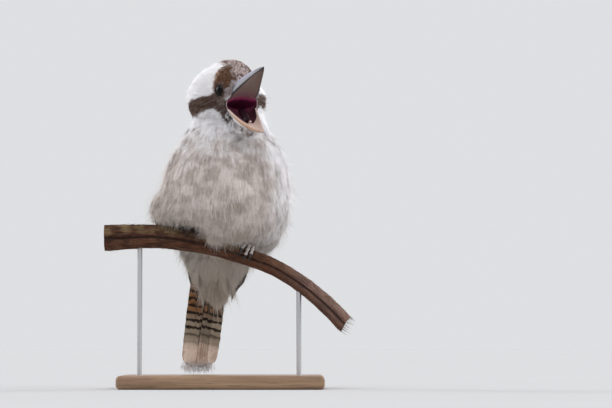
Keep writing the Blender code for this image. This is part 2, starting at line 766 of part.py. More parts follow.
def wing_edges_at(down):
    """The core's reach across the sheet, rounded off at the shoulder and narrower towards the hand."""
    round_off = 0.24 * (1 - ease(down, 0.0, 0.09))
    low = 0.06 + round_off + 0.10 * ease(down, 0.3, 0.5)
    high = 0.95 - round_off - 0.28 * ease(down, 0.34, 0.5)
    return low, high


def wing_block(side, downs, floor, roof, margin):
    """A slab on the wing's sheet. roof(down, edge) gives its height, with edge 0 at its sides."""
    rings = []
    for down in downs:
        low, high = wing_edges_at(down)
        spare = margin / wing_span(down)
        shares = np.linspace(low - spare, high + spare, 7)
        over = [(share, roof(down, min(share - low, high - share) / (high - low))) for share in shares]
        above = [wing_point(down, share, lift, side) for share, lift in over]
        below = [wing_point(down, share, floor, side) for share in shares[::-1]]
        rings.append(above + below)
    return loft(rings)


def wing_core(side):
    """The folded arm and hand under the coverts: thick at the shoulder, thin where the tip leaves it."""

    def roof(down, edge):
        full = (0.0082 - 0.0044 * ease(down, 0.22, 0.38)) * (0.35 + 0.65 * ease(down, 0.0, 0.07))
        return full * (0.30 + 0.70 * ease(edge, 0.0, 0.16))

    return wing_block(side, np.linspace(0.02, BED_END, 8), GAP - BED_DEPTH, roof, 0.0)


def wing_bed(side):
    """The hollow in the flank that takes the core, with the gap round it and twice that at its sides."""
    downs = np.linspace(0.02, BED_END, 8)
    downs[0] -= GAP / WING_DROP
    downs[-1] += GAP / WING_DROP
    return wing_block(side, downs, -BED_DEPTH, lambda down, edge: BED_ROOF, 2 * GAP)


def flight_bed(side):
    """The flesh shaved flat under the feathers beyond the core."""
    rings = []
    for down in np.linspace(0.46, 0.86, 7):
        shares = np.linspace(-0.08, 1.08, 7)
        above = [wing_point(down, share, BED_ROOF, side) for share in shares]
        below = [wing_point(down, share, -FLIGHT_DEPTH, side) for share in shares[::-1]]
        rings.append(above + below)
    return loft(rings)


def make_wing(side, name):
    wing = piece("wing_" + name, wing_core(side), BIRD, FEATHER_BROWN)
    vanes = []
    for count, r0, r1, t0, t1, root, tip0, tip1, half, low, high, overlap, rows in WING_TIERS:
        space = (r1 - r0) / (count - 1), (t1 - t0) / (count - 1)
        for k in range(count):
            start = (root, r0 + space[0] * k)
            end = (tip0 + (tip1 - tip0) * k / (count - 1), t0 + space[1] * k)
            shape = wing_vane(side, start, end, half, space, (low, high), overlap, rows)
            vanes.append(piece("vane", shape, BIRD))
    join(wing, vanes, FOR_FEATHERS)


def tail_point(down, across, lift):
    """A point of the tail in the bird's frame: down its length, across and up off its own sheet."""
    lean, swing = Vector((0, math.sin(TAIL_LEAN), -math.cos(TAIL_LEAN))), math.sin(TAIL_SWING)
    side = Vector((1, 0, 0))
    rise = side.cross(lean)
    along, over = lean - swing * side, side + swing * lean
    return Vector(TAIL_ROOT) + down * along + across * over + (lift - TAIL_ARCH * across**2) * rise


def tail_vane(start, end, half, lifts, rows, full):
    """A feather of the tail from one (down, across) to another, at the heights of its root and tip."""

    def place(along, across, lift):
        down = start[0] + (end[0] - start[0]) * along
        middle = start[1] + (end[1] - start[1]) * along
        return tail_point(down, middle + across, lifts[0] + (lifts[1] - lifts[0]) * along**1.6 + lift)

    return vane(place, rows, leaf(half, 0.72, 0.35, full), VANE_THICK, 0.0)


def make_tail(tail):
    """Twelve tail feathers, the middle pair uppermost, with the coverts above and below their roots."""
    vanes = []
    for across, half, right, left, short in TAIL_PAIRS:
        for side, lift in ((-1, right), (1, left)):
            wider = TAIL_WIDER if side < 0 else 0.0
            start = (0.004, side * (across * 0.8 + wider))
            end = (TAIL_LONG - short, side * (across - 0.3 * wider))
            vanes.append(tail_vane(start, end, half, (lift, lift), 4, 0.75))
    for root, tip, start, end, low, high in VENT_COVERTS + RUMP_COVERTS:
        vanes.append(tail_vane((root, start), (tip, end), 0.0080, (low, high), 3, 0.45))
    join(tail, [piece("vane", shape, BIRD) for shape in vanes], FOR_FEATHERS)


# Toes: name, way it points, sideways spread at its tip, length round the stalk, start sideways
TOES = (
    ("inner", -1, -0.0066, 0.0160, -0.0032),
    ("middle", -1, 0.0000, 0.0215, 0.0002),
    ("outer", -1, 0.0056, 0.0185, 0.0036),
    ("hind", 1, -0.0015, 0.0150, -0.0010),
)
TOE_RADIUS = 0.0022
TOE_START = 0.12  # angle round the stalk from the palm's middle to a toe's start
CLAW_LONG = 0.0115
CLAW_ROOT = 0.0015
SHANK_RADII = (0.0028, 0.0024, 0.0028)
PALM_HALF = (0.0052, 0.0052, 0.0029)


def round_stalk(across, sideways, turn, stand_off):
    """A point off the stalk's surface: turn is the angle from its top towards its back."""
    along = stalk_tangent(across)
    up = Vector((-along.z, 0, along.x))
    here = across + sideways * along.x
    height, radius = stalk_at(here)
    reach = radius * stalk_section(-turn % (2 * math.pi)) + stand_off
    return Vector((here, 0, height)) + reach * (math.cos(turn) * up + math.sin(turn) * Vector((0, 1, 0)))


def tube(points, radii, sides):
    """A closed round skin along points, with its own radius at each."""
    points = [Vector(p) for p in points]
    rings = []
    ahead = (points[1] - points[0]).normalized()
    side = ahead.orthogonal().normalized()
    for k, point in enumerate(points):
        before, after = points[max(k - 1, 0)], points[min(k + 1, len(points) - 1)]
        ahead = (after - before).normalized()
        side = (side - ahead * side.dot(ahead)).normalized()
        other = ahead.cross(side)
        turns = [2 * math.pi * n / sides for n in range(sides)]
        rings.append([point + radii[k] * (math.cos(t) * side + math.sin(t) * other) for t in turns])
    return loft(rings)


def make_leg(side, name, torso_fit):
    """Shank and four toes that grip the stalk, with a claw at each toe's end."""
    across, crest = FOOT_PLACES[name]
    radius = stalk_at(across)[1]
    shank_foot = round_stalk(across, 0, crest, TOE_RADIUS + 0.0016)
    shank_top = shank_foot + Vector((side * -0.004, 0.010, 0.022))
    shank = tube([shank_foot, shank_foot.lerp(shank_top, 0.5), shank_top], SHANK_RADII, 8)
    leg = piece("leg_" + name, shank, STALK_FRAME, FOOT_SKIN)
    along = stalk_tangent(across)
    slope = -math.atan2(along.z, along.x)
    palm = ball(round_stalk(across, 0, crest, 0.0036), PALM_HALF, 12, 8, (-crest, slope, 0))
    pieces, claws = [piece("palm", palm, STALK_FRAME)], []
    for toe, way, spread, length, begin in TOES:
        reach = radius + TOE_RADIUS
        sweep = length / reach
        points, radii = [], []
        for step in range(6):
            share = step / 5
            sideways = side * (begin + (spread - begin) * share)
            knuckle = 0.00035 * math.cos(share * 3 * 2 * math.pi)
            size = TOE_RADIUS * (1 - 0.22 * share) + knuckle
            turn = crest + way * (TOE_START + sweep * share)
            points.append(round_stalk(across, sideways, turn, size + 0.0008))
            radii.append(size)
        pieces.append(piece("toe", tube(points, radii, 7), STALK_FRAME))
        claw_points, claw_radii = [], []
        for step in range(5):
            share = step / 4
            turn = crest + way * (TOE_START + sweep + (CLAW_LONG * share - CLAW_ROOT) / reach)
            rise = 0.0024 + 0.0013 * math.sin(math.pi * share) - 0.0014 * share
            claw_points.append(round_stalk(across, side * spread, turn, rise))
            claw_radii.append(0.0013 * (1 - 0.80 * share))
        claws.append(piece(f"claw_{name}_{toe}", tube(claw_points, claw_radii, 6), STALK_FRAME, CLAW_DARK))
    join(leg, pieces)
    cut(leg, copy_of(torso_fit, "belly_bed"))
    for claw in claws:
        cut(claw, grown(leg, GAP))


def make_stand(stalk):
    """A flat base with two rods let into it and into the stalk."""
    base = piece("stand_base", block((0, 0, BASE_SIZE[2] / 2), BASE_SIZE), None, BASE_WOOD)
    soften = base.modifiers.new("edges", "BEVEL")
    soften.width = BASE_EDGE
    soften.segments = 3
    settle(base)
    for k, across in enumerate(ROD_PLACES):
        height, radius = stalk_at(across)
        slope = stalk_tangent(across)
        bottom = BASE_SIZE[2] - ROD_SOCKET
        top = height - radius / slope.x + ROD_SOCKET
        rod = bmesh.new()
        bore = bmesh.new()
        for shape, grow in ((rod, 0.0), (bore, GAP)):
            length = top - bottom + 2 * grow
            place = Matrix.Translation((across, PERCH_Y, (top + bottom) / 2))
            bmesh.ops.create_cone(shape, cap_ends=True, segments=14, radius1=ROD_RADIUS + grow,
                                  radius2=ROD_RADIUS + grow, depth=length, matrix=place)
        piece(("stand_rod_left", "stand_rod_right")[k], rod, None, ROD_STEEL)
        bore_tool = piece("bore", bore)
        cut(base, copy_of(bore_tool, "bore_low"))
        cut(stalk, bore_tool)


clear_scene()
PARTS = new_collection("kookaburra")

FEATHER_WHITE = material("feather_white", (0.72, 0.67, 0.61), 0.9)
FEATHER_BROWN = material("feather_brown", (0.13, 0.085, 0.055), 0.8)
FEATHER_RUFOUS = material("feather_rufous", (0.38, 0.22, 0.12), 0.8)
BILL_DARK = material("bill_dark", (0.06, 0.06, 0.07), 0.35)
BILL_PALE = material("bill_pale", (0.62, 0.42, 0.28), 0.4)
MOUTH_SKIN = material("mouth_skin", (0.20, 0.05, 0.09), 0.45)
TONGUE_SKIN = material("tongue_skin", (0.65, 0.36, 0.36), 0.4)
EYE_DARK = material("eye_dark", (0.015, 0.010, 0.008), 0.08)
FOOT_SKIN = material("foot_skin", (0.42, 0.34, 0.28), 0.6)
CLAW_DARK = material("claw_dark", (0.05, 0.045, 0.05), 0.35)
STALK_BARK = material("stalk_bark", (0.16, 0.085, 0.06), 0.8)
BASE_WOOD = material("base_wood", (0.30, 0.19, 0.11), 0.45)
ROD_STEEL = material("rod_steel", (0.55, 0.55, 0.56), 0.3, 1.0)

BIRD = frame("bird_frame", BIRD_PLACE, (0, 0, BIRD_YAW))
SKULL = frame("head_frame", GAPE_PLACE, (-HEAD_PITCH, -HEAD_ROLL, HEAD_YAW))
STALK_FRAME = frame("stalk_frame", (0, PERCH_Y, 0))

head, torso, tail = make_body()
make_face(head)
for side, name in ((-1, "right"), (1, "left")):
    make_wing(side, name)
make_tail(tail)
torso_fit = grown(torso, GAP)
for side, name in ((-1, "right"), (1, "left")):
    make_leg(side, name, torso_fit)
bpy.data.objects.remove(torso_fit)
stalk = piece("perch", stalk_sweep(lambda r: r, 18, stalk_section), STALK_FRAME, STALK_BARK)
make_stand(stalk)

for obj in PARTS.objects:
    if obj.type == "MESH":
        obj.data.shade_smooth()
        obj.data.set_sharp_from_angle(angle=math.radians(35))
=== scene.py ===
import math

import bmesh
import bpy
import numpy as np
from mathutils import Euler, Matrix, Vector
from mathutils.bvhtree import BVHTree
from mathutils.kdtree import KDTree


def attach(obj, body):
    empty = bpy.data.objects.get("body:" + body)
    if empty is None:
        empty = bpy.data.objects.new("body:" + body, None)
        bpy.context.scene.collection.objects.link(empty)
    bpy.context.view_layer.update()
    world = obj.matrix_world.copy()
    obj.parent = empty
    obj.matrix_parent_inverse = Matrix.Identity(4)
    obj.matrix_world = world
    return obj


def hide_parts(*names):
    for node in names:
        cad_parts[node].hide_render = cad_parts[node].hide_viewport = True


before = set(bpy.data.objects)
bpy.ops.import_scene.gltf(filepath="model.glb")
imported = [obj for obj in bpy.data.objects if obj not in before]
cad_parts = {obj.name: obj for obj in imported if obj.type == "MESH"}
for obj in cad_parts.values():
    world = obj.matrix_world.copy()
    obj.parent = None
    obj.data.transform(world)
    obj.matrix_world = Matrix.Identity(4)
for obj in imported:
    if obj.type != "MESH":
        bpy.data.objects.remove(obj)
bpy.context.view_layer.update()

# Where things stand, as in the part's source. The bird's frame has its face towards -Y and its left
# towards +X, and the head's frame has its origin between the corners of the gape.
PERCH_Y = -0.022
SIDES = ((-1, "right"), (1, "left"))
BIRD_TURN = Euler((0, 0, math.radians(16)))
BIRD = Matrix.Translation((0.008, PERCH_Y, 0)) @ BIRD_TURN.to_matrix().to_4x4()
SKULL_TURN = Euler((-math.radians(16), -math.radians(4), math.radians(26)))
SKULL = Matrix.Translation((0.0208, PERCH_Y - 0.037, 0.3305)) @ SKULL_TURN.to_matrix().to_4x4()
STALK_FRAME = Matrix.Translation((0, PERCH_Y, 0))
BILL_LIFT = math.radians(11)
JAW_DROP = math.radians(48)

# Trunk as level sections: height, middle, half width, depth to the front, depth to the back
TRUNK = (
    (0.0970, 0.072, 0.0075, 0.0110, 0.0110),
    (0.1060, 0.068, 0.0115, 0.0165, 0.0160),
    (0.1160, 0.0645, 0.0165, 0.0205, 0.0205),
    (0.1260, 0.061, 0.0255, 0.0250, 0.0250),
    (0.1450, 0.053, 0.0375, 0.0310, 0.0330),
    (0.1640, 0.043, 0.0540, 0.0400, 0.0430),
    (0.1760, 0.034, 0.0660, 0.0560, 0.0500),
    (0.1880, 0.028, 0.0725, 0.0680, 0.0540),
    (0.2020, 0.023, 0.0750, 0.0720, 0.0560),
    (0.2180, 0.018, 0.0760, 0.0720, 0.0570),
    (0.2330, 0.014, 0.0745, 0.0700, 0.0560),
    (0.2500, 0.011, 0.0715, 0.0660, 0.0545),
    (0.2680, 0.008, 0.0668, 0.0600, 0.0510),
    (0.2910, 0.004, 0.0540, 0.0490, 0.0440),
    (0.3080, 0.002, 0.0440, 0.0410, 0.0380),
    (0.3250, 0.001, 0.0380, 0.0320, 0.0320),
)
WING_BED = 0.090  # share of its width that the trunk gives up under the wings
WING_BED_ANGLES = (110, 126)
# Swellings and hollows of the flanks: side, amount, height, its reach, angle from the breast, its reach
FLANKS = (
    (-1, 0.0145, 0.207, 0.0210, 104, 20),
    (-1, -0.0045, 0.157, 0.0090, 100, 34),
    (1, 0.0060, 0.166, 0.0090, 74, 30),
)
VENT_ASIDE = 0.0045
VENT_HEIGHTS = (0.097, 0.122)
# The belly ends higher over the right foot: share taken off, heights and angles between which that fades
LAP = 0.44
LAP_END = (0.1860, 0.1990)
LAP_START = (0.150, 0.172)
LAP_ANGLES = (-114, -96, -46, -32)

# Head as sections: distance ahead of the gape, top, bottom, widest level, half width
HEAD = (
    (-0.0680, 0.034, 0.000, 0.018, 0.0230),
    (-0.0580, 0.045, -0.010, 0.019, 0.0350),
    (-0.0440, 0.0510, -0.015, 0.020, 0.0425),
    (-0.0290, 0.0545, -0.019, 0.020, 0.0435),
    (-0.0150, 0.0560, -0.020, 0.019, 0.0368),
    (-0.0040, 0.0556, -0.019, 0.017, 0.0278),
    (0.0060, 0.0524, -0.017, 0.014, 0.0230),
    (0.0150, 0.0464, -0.012, 0.012, 0.0206),
    (0.0220, 0.0345, -0.004, 0.011, 0.0172),
)
HEAD_BACK = (-0.0730, 0.018)
HEAD_FRONT = (0.0270, 0.012)
HEAD_SQUARE = 0.84  # under 1 squares the sections off
CHIN_MIDDLE = (0.0, -0.0030, -0.0215)
CHIN_HALF = (0.0185, 0.0310, 0.0135)

# Bills as sections: distance from the gape, half width, height or depth
UPPER_BILL = (
    (0.0020, 0.0183, 0.0075),
    (0.0100, 0.0178, 0.0125),
    (0.0220, 0.0163, 0.0165),
    (0.0350, 0.0134, 0.0150),
    (0.0500, 0.0096, 0.0114),
    (0.0640, 0.0060, 0.0072),
    (0.0740, 0.0031, 0.0038),
    (0.0790, 0.0013, 0.0016),
)
UPPER_TIP = 0.0815
LOWER_BILL = (
    (0.0020, 0.0181, 0.0070),
    (0.0100, 0.0177, 0.0088),
    (0.0220, 0.0156, 0.0094),
    (0.0350, 0.0126, 0.0086),
    (0.0470, 0.0091, 0.0068),
    (0.0590, 0.0056, 0.0045),
    (0.0670, 0.0029, 0.0026),
    (0.0710, 0.0012, 0.0013),
)
LOWER_TIP = 0.0722
PALATE_HOLLOW = 0.0040
TROUGH_HOLLOW = 0.0042
LOWER_SAG = 0.0034
TIP_DROOP = 0.0012  # how far a bill's tip bends towards the other bill
RIDGE_POINTS = 34  # points of a bill's ring over its outer side
INNER_POINTS = 21  # and across its inner side
HORN_STARTS = {"bill_upper": 0.0050, "bill_lower": 0.0068}

# Bills: name, stations, tip, hollow, side, turn about the hinge and sag of the middle
BILLS = (
    ("bill_upper", UPPER_BILL, UPPER_TIP, PALATE_HOLLOW, 1, -BILL_LIFT, 0.0),
    ("bill_lower", LOWER_BILL, LOWER_TIP, TROUGH_HOLLOW, -1, JAW_DROP, LOWER_SAG),
)

# Mouth's rim and the rings behind it: how far ahead of the hinge over the palate and over the trough, the
# same at the upper and lower end of the corners' webs, how far the webs stand out, and air to the horn
GAPE = (
    (0.0125, 0.0450, 0.0125, 0.0105, 0.0030, -0.0006),
    (0.0085, 0.0300, 0.0100, 0.0085, 0.0026),
    (0.0050, 0.0150, 0.0070, 0.0060, 0.0016),
    (0.0030, 0.0060, 0.0035, 0.0040, 0.0010),
)
# Throat behind the hinge: distance ahead of the gape, level, half width, height above, depth below
THROAT = (
    (-0.0060, -0.0025, 0.0160, 0.0068, 0.0060),
    (-0.0160, -0.0050, 0.0140, 0.0085, 0.0080),
    (-0.0250, -0.0085, 0.0100, 0.0070, 0.0070),
    (-0.0310, -0.0110, 0.0055, 0.0040, 0.0045),
)
MOUTH_PLACES = (0.0, 0.14, 0.28, 0.42, 0.54, 0.70, 0.86, 1.0)  # where those rings stand from rim to end
LINING_THICK = 0.0006
RIM_POINTS = 25  # points of a mouth ring over the palate, and as many over the trough
WEB_POINTS = 10  # and down each corner's web

BILL_ROOT = (0, -0.020, 0.010)
EYE_RADIUS = 0.0076
EYE_MIDDLE = (0.0196, -0.0030, 0.0156)
LID_RING = 0.0068
LID_THICK = 0.0007

TAIL_LEAN = math.radians(25)
TAIL_SWING = math.radians(3)
TAIL_ROOT = (-0.0050, 0.0610, 0.1260)
TAIL_LONG = 0.1165
TAIL_ARCH = 4.0
TAIL_WIDER = 0.0080
BAR_SLOPE = 1.5  # how fast the bars of each half of the tail drop towards the bird's left
# Tail feathers in pairs from the middle out: across, half width, height right and left, shortfall
TAIL_PAIRS = (
    (0.0036, 0.0076, 0.0092, 0.0082, 0.0000),
    (0.0060, 0.0074, 0.0072, 0.0062, 0.0006),
    (0.0084, 0.0071, 0.0052, 0.0052, 0.0016),
    (0.0107, 0.0069, 0.0042, 0.0042, 0.0030),
    (0.0130, 0.0067, 0.0032, 0.0032, 0.0048),
    (0.0152, 0.0066, 0.0022, 0.0022, 0.0072),
)

# Stalk as sections from its left end: place across, height, radius
STALK = (
    (-0.1370, 0.1762, 0.0160),
    (-0.0845, 0.1781, 0.0143),
    (-0.0375, 0.1732, 0.0133),
    (0.0094, 0.1615, 0.0115),
    (0.0330, 0.1528, 0.0104),
    (0.0560, 0.1442, 0.0101),
    (0.0800, 0.1310, 0.0101),
    (0.1030, 0.1147, 0.0103),
    (0.1264, 0.0942, 0.0108),
    (0.1440, 0.0760, 0.0108),
)
# Across the stalk, and the angle from its top to the crest of the foot
FOOT_PLACES = {"right": (-0.0420, 0.85), "left": (0.0275, 0.35)}
TOE_RADIUS = 0.0022
PALM_TURN = 0.12  # from the crest of the foot round to where its toes begin
PALM_HALF = (0.0052, 0.0052, 0.0029)
CLAW_RADIUS = 0.0013
CLAW_LONG = 0.0115
CLAW_ROOT = 0.0015  # how much of that lies inside the toe
# Toes: way round the stalk, place across at the claw, length, place across at the palm
TOES = (
    ("inner", -1, -0.0066, 0.0160, -0.0032),
    ("middle", -1, 0.0000, 0.0215, 0.0002),
    ("outer", -1, 0.0056, 0.0185, 0.0036),
    ("hind", 1, -0.0015, 0.0150, -0.0010),
)

# Edges of the stripe through the eye: how far ahead of the gape, and level
STRIPE_LOW = (
    (-0.060, 0.0075),
    (-0.049, 0.0058),
    (-0.032, 0.0020),
    (-0.0186, 0.0022),
    (-0.0118, 0.0012),
    (-0.0085, -0.0027),
    (-0.0070, -0.0110),
    (0.000, -0.0110),
    (0.012, -0.0060),
)
STRIPE_HIGH = (
    (-0.060, 0.0160),
    (-0.038, 0.0184),
    (-0.024, 0.0165),
    (-0.0143, 0.0163),
    (-0.006, 0.0160),
    (0.006, 0.0120),
    (0.012, 0.0080),
)
# Edges of the brown patch over the eye: level, and how far ahead of the gape
PATCH_REAR = ((0.012, 0.001), (0.018, -0.0040), (0.0275, -0.0047), (0.034, -0.0011), (0.0403, 0.0032))
PATCH_FRONT = ((0.0110, 0.0160), (0.0138, 0.0200), (0.0227, 0.0232), (0.0347, 0.0185))
# Dark strokes behind the gape and under the chin, the one under the chin partly darker stained feathers
# and partly painted shadow cast by the lower bill: start and end as side, ahead and level, then both edges
GAPE_STROKES = (
    ((0.0135, -0.0090, -0.0125), (0.0095, -0.0020, -0.0180), 0.0024, 0.0040),
    ((0.0180, -0.0065, -0.0045), (0.0135, -0.0090, -0.0120), 0.0012, 0.0028),
)
CHIN_STAIN_AND_SHADOW = ((-0.0030, -0.0040, -0.0272), (0.0105, -0.0125, -0.0325), 0.0022, 0.0052)

# Wing: down from the shoulder, 0 to 1, and across from the lower edge to the upper, 0 to 1
WING_TOP = 0.287
WING_DROP = 0.187
WING_EDGES = (
    (0.00, 118, 148),
    (0.25, 109, 164),
    (0.50, 108, 171),
    (0.75, 113, 166),
    (1.00, 127, 147),
)
WING_TUCK = {-1: (13, 13), 1: (0, -20)}  # the lower edge's turn to the back, in degrees, at root and tip
WING_TIP_LIFT = 0.0085

# The photograph's view
VIEW_AIM = (0.0983, PERCH_Y, 0.216)
VIEW_FAR = 3.2
VIEW_PITCH = math.radians(3)
VIEW_WIDE = 0.716
SENSOR = 36

# Tones of the plumage, in pairs where noise runs from one to the other
WHITE = ((0.91, 0.895, 0.905), (0.96, 0.95, 0.965))
BUFF = (0.86, 0.79, 0.75)
BLOTCH = (0.47, 0.385, 0.33)
# Cream of the vent and lower body, darkened to serve also as painted shade beneath the belly and over the
# perch
CREAM_AND_SHADE = (0.47, 0.425, 0.365)
LORE = (0.15, 0.105, 0.095)
CROWN_PALE = ((0.46, 0.355, 0.33), (0.74, 0.65, 0.64))
CROWN_DARK = ((0.085, 0.054, 0.046), (0.18, 0.118, 0.105))
BROW_BROWN = ((0.080, 0.042, 0.027), (0.25, 0.140, 0.095))
RUST = (0.42, 0.235, 0.145)
STRIPE = ((0.056, 0.035, 0.030), (0.175, 0.118, 0.094))
MANTLE = ((0.050, 0.032, 0.024), (0.14, 0.095, 0.070))
RUMP = ((0.30, 0.14, 0.06), (0.04, 0.025, 0.02))


def read(stations, at):
    """The columns of a table of stations at many places, by cubic curves that don't overshoot."""
    table = np.array(stations, float)
    place, values = table[:, 0], table[:, 1:]
    at = np.clip(np.asarray(at, float), place[0], place[-1])
    slopes = np.diff(values, axis=0) / np.diff(place)[:, None]
    product = slopes[1:] * slopes[:-1]
    inner = np.where(product > 0, 2 * product / (slopes[1:] + slopes[:-1] + 1e-12), 0)
    tangents = np.vstack([slopes[:1], inner, slopes[-1:]])
    k = np.clip(np.searchsorted(place, at, side="right") - 1, 0, len(place) - 2)
    width = (place[k + 1] - place[k])[..., None]
    u = (at - place[k])[..., None] / width
    return (
        (2 * u**3 - 3 * u**2 + 1) * values[k]
        + (u**3 - 2 * u**2 + u) * width * tangents[k]
        + (3 * u**2 - 2 * u**3) * values[k + 1]
        + (u**3 - u**2) * width * tangents[k + 1]
    )


def ease(value, low, high):
    """0 below low, 1 above high and a smooth step between."""
    u = np.clip((np.asarray(value, float) - low) / (high - low), 0.0, 1.0)
    return u * u * (3 - 2 * u)


def placed(matrix, points):
    """Points of a frame, in the row frame."""
    turn = np.array(matrix)
    return np.asarray(points, float) @ turn[:3, :3].T + turn[:3, 3]


def local(matrix, points):
    """Points of the row frame, in another frame."""
    return placed(matrix.inverted(), points)


def unit(vectors):
    return vectors / np.maximum(np.linalg.norm(vectors, axis=-1, keepdims=True), 1e-9)


def waves(points, scale, seed):
    """Smooth noise from -1 to 1 over points, its waves about scale metres long."""
    draw = np.random.default_rng(seed)
    total = np.zeros(points.shape[:-1])
    for _ in range(9):
        way = draw.normal(size=3)
        way *= 2 * math.pi / scale * draw.uniform(0.6, 1.5) / np.linalg.norm(way)
        total += np.sin(points @ way + draw.uniform(0, 2 * math.pi))
    return np.clip(total / 3.2, -1, 1)


# Meshes


def mesh_piece(name, points, faces, finish=None):
    """An object from arrays: points, and arrays of faces, each array with one number of corners."""
    mesh = bpy.data.meshes.new(name)
    points = np.asarray(points, np.float32).reshape(-1, 3)
    faces = [np.asarray(f, np.int32) for f in faces]
    corners = np.concatenate([f.ravel() for f in faces])
    counts = np.concatenate([np.full(len(f), f.shape[1]) for f in faces])
    mesh.vertices.add(len(points))
    mesh.vertices.foreach_set("co", points.ravel())
    mesh.loops.add(len(corners))
    mesh.loops.foreach_set("vertex_index", corners)
    mesh.polygons.add(len(counts))
    starts = np.concatenate([[0], np.cumsum(counts)[:-1]])
    mesh.polygons.foreach_set("loop_start", starts.astype(np.int32))
    mesh.update(calc_edges=True)
    mesh.shade_smooth()
    if finish:
        mesh.materials.append(finish)
    made = bpy.data.objects.new(name, mesh)
    bpy.context.scene.collection.objects.link(made)
    return made


def put(obj, name, values):
    """Stores one number for each point of the object."""
    store = obj.data.attributes.new(name, "FLOAT", "POINT")
    store.data.foreach_set("value", np.ascontiguousarray(values, np.float32).ravel())


def put_uv(obj, name, uv):
    """Stores a map from one pair for each point."""
    corners = np.empty(len(obj.data.loops), np.int32)
    obj.data.loops.foreach_get("vertex_index", corners)
    layer = obj.data.uv_layers.new(name=name)
    layer.data.foreach_set("uv", np.asarray(uv, np.float32)[corners].ravel())


def grid_faces(rows, columns, wrap=False, start=0):
    """The quads of a grid of points stored row by row, joined round its columns if wrap is set."""
    last = columns if wrap else columns - 1
    row, column = np.meshgrid(np.arange(rows - 1), np.arange(last), indexing="ij")
    right = (column + 1) % columns
    here, beyond = row * columns, (row + 1) * columns
    corners = [here + column, here + right, beyond + right, beyond + column]
    return start + np.stack(corners, axis=-1).reshape(-1, 4)


def tube_mesh(name, rings, finish=None, ends=(None, None)):
    """A closed skin over rings of points, each end closed on a middle point. Returns the object."""
    rings = np.asarray(rings, float)
    rows, columns = rings.shape[:2]
    tips = [rings[k].mean(axis=0) if end is None else end for k, end in ((0, ends[0]), (-1, ends[1]))]
    points = np.vstack([rings.reshape(-1, 3), tips])
    ring = np.arange(columns)
    beyond = (ring + 1) % columns
    low_cap = np.stack([beyond, ring, np.full(columns, rows * columns)], axis=1)
    top = (rows - 1) * columns
    high_cap = np.stack([top + ring, top + beyond, np.full(columns, rows * columns + 1)], axis=1)
    made = mesh_piece(name, points, [grid_faces(rows, columns, wrap=True), low_cap, high_cap], finish)
    face_out(made)
    return made


def face_out(obj):
    shape = bmesh.new()
    shape.from_mesh(obj.data)
    bmesh.ops.recalc_face_normals(shape, faces=shape.faces)
    shape.to_mesh(obj.data)
    shape.free()


def settled(obj):
    """Applies the object's modifiers."""
    graph = bpy.context.evaluated_depsgraph_get()
    mesh = bpy.data.meshes.new_from_object(obj.evaluated_get(graph))
    obj.modifiers.clear()
    obj.data = mesh


def points_of(obj):
    co = np.empty(len(obj.data.vertices) * 3, np.float32)
    obj.data.vertices.foreach_get("co", co)
    return co.reshape(-1, 3).astype(float)


def joined(name, parts):
    """One object from several, with their materials."""
    bpy.ops.object.select_all(action="DESELECT")
    for part in parts:
        part.select_set(True)
    bpy.context.view_layer.objects.active = parts[0]
    bpy.ops.object.join()
    parts[0].select_set(False)
    parts[0].name = name
    parts[0].data.name = name
    return parts[0]


# Shader maths


class Value:
    """A shader socket. Its operators add Math nodes."""

    def __init__(self, finish, socket):
        self.finish, self.socket = finish, socket

    def maths(self, operation, *values):
        return self.finish.node("Math", dict(enumerate(values)), operation=operation)

    def __add__(self, other):
        return self.maths("ADD", self, other)

    def __sub__(self, other):
        return self.maths("SUBTRACT", self, other)

    def __mul__(self, other):
        return self.maths("MULTIPLY", self, other)

    def __rsub__(self, other):
        return self.maths("SUBTRACT", other, self)

    __radd__ = __add__
    __rmul__ = __mul__

    def sine(self):
        return self.maths("SINE", self)

    def size(self):
        return self.maths("ABSOLUTE", self)

    def step(self, low, high):
        """0 below low, 1 above high and smooth between."""
        limits = {0: self, 1: low, 2: high, 3: 0.0, 4: 1.0}
        return self.finish.node("MapRange", limits, interpolation_type="SMOOTHSTEP")


class Finish:
    """A material and the nodes of its colour, roughness and bump."""

    def __init__(self, name, **plain):
        self.material = bpy.data.materials.new(name)
        self.material.use_nodes = True
        self.tree = self.material.node_tree
        self.shader = self.tree.nodes["Principled BSDF"]
        for socket, value in plain.items():
            self.shader.inputs[socket.replace("_", " ")].default_value = value

    def node(self, kind, values=None, out=0, **settings):
        """A node with its settings set first, then its sockets' values or links. Returns an output."""
        made = self.tree.nodes.new("ShaderNode" + kind)
        for setting, value in settings.items():
            setattr(made, setting, value)
        for key, value in (values or {}).items():
            if isinstance(value, Value):
                self.tree.links.new(value.socket, made.inputs[key])
            else:
                made.inputs[key].default_value = value
        return Value(self, made.outputs[out])

    def attribute(self, name):
        return self.node("Attribute", out=2, attribute_name=name)

    def mix(self, first, second, share):
        """One colour turning into another."""
        pair = [c if isinstance(c, Value) else (*c, 1) for c in (first, second)]
        return self.node("Mix", {0: share, 6: pair[0], 7: pair[1]}, out=2, data_type="RGBA")

    def tinted(self, colour, factor):
        """A colour times a number."""
        grey = self.node("CombineColor", {0: factor, 1: factor, 2: factor})
        pair = {0: 1.0, 6: colour, 7: grey}
        return self.node("Mix", pair, out=2, data_type="RGBA", blend_type="MULTIPLY")

    def place(self, stretch=(1, 1, 1), uv=None):
        """Object coordinates, or a map's, stretched."""
        if uv:
            source = self.node("UVMap", uv_map=uv)
        else:
            source = self.node("TexCoord", out=3)
        return self.node("Mapping", {0: source, 3: stretch})

    def noise(self, at, scale, detail=3.0, rough=0.55):
        return self.node("TexNoise", {0: at, 2: scale, 3: detail, 4: rough})

    def bump(self, height, distance, strength=1.0):
        return self.node("Bump", {0: strength, 1: distance, 3: height})

    def feed(self, **values):
        for socket, value in values.items():
            self.tree.links.new(value.socket, self.shader.inputs[socket.replace("_", " ")])
        return self.material


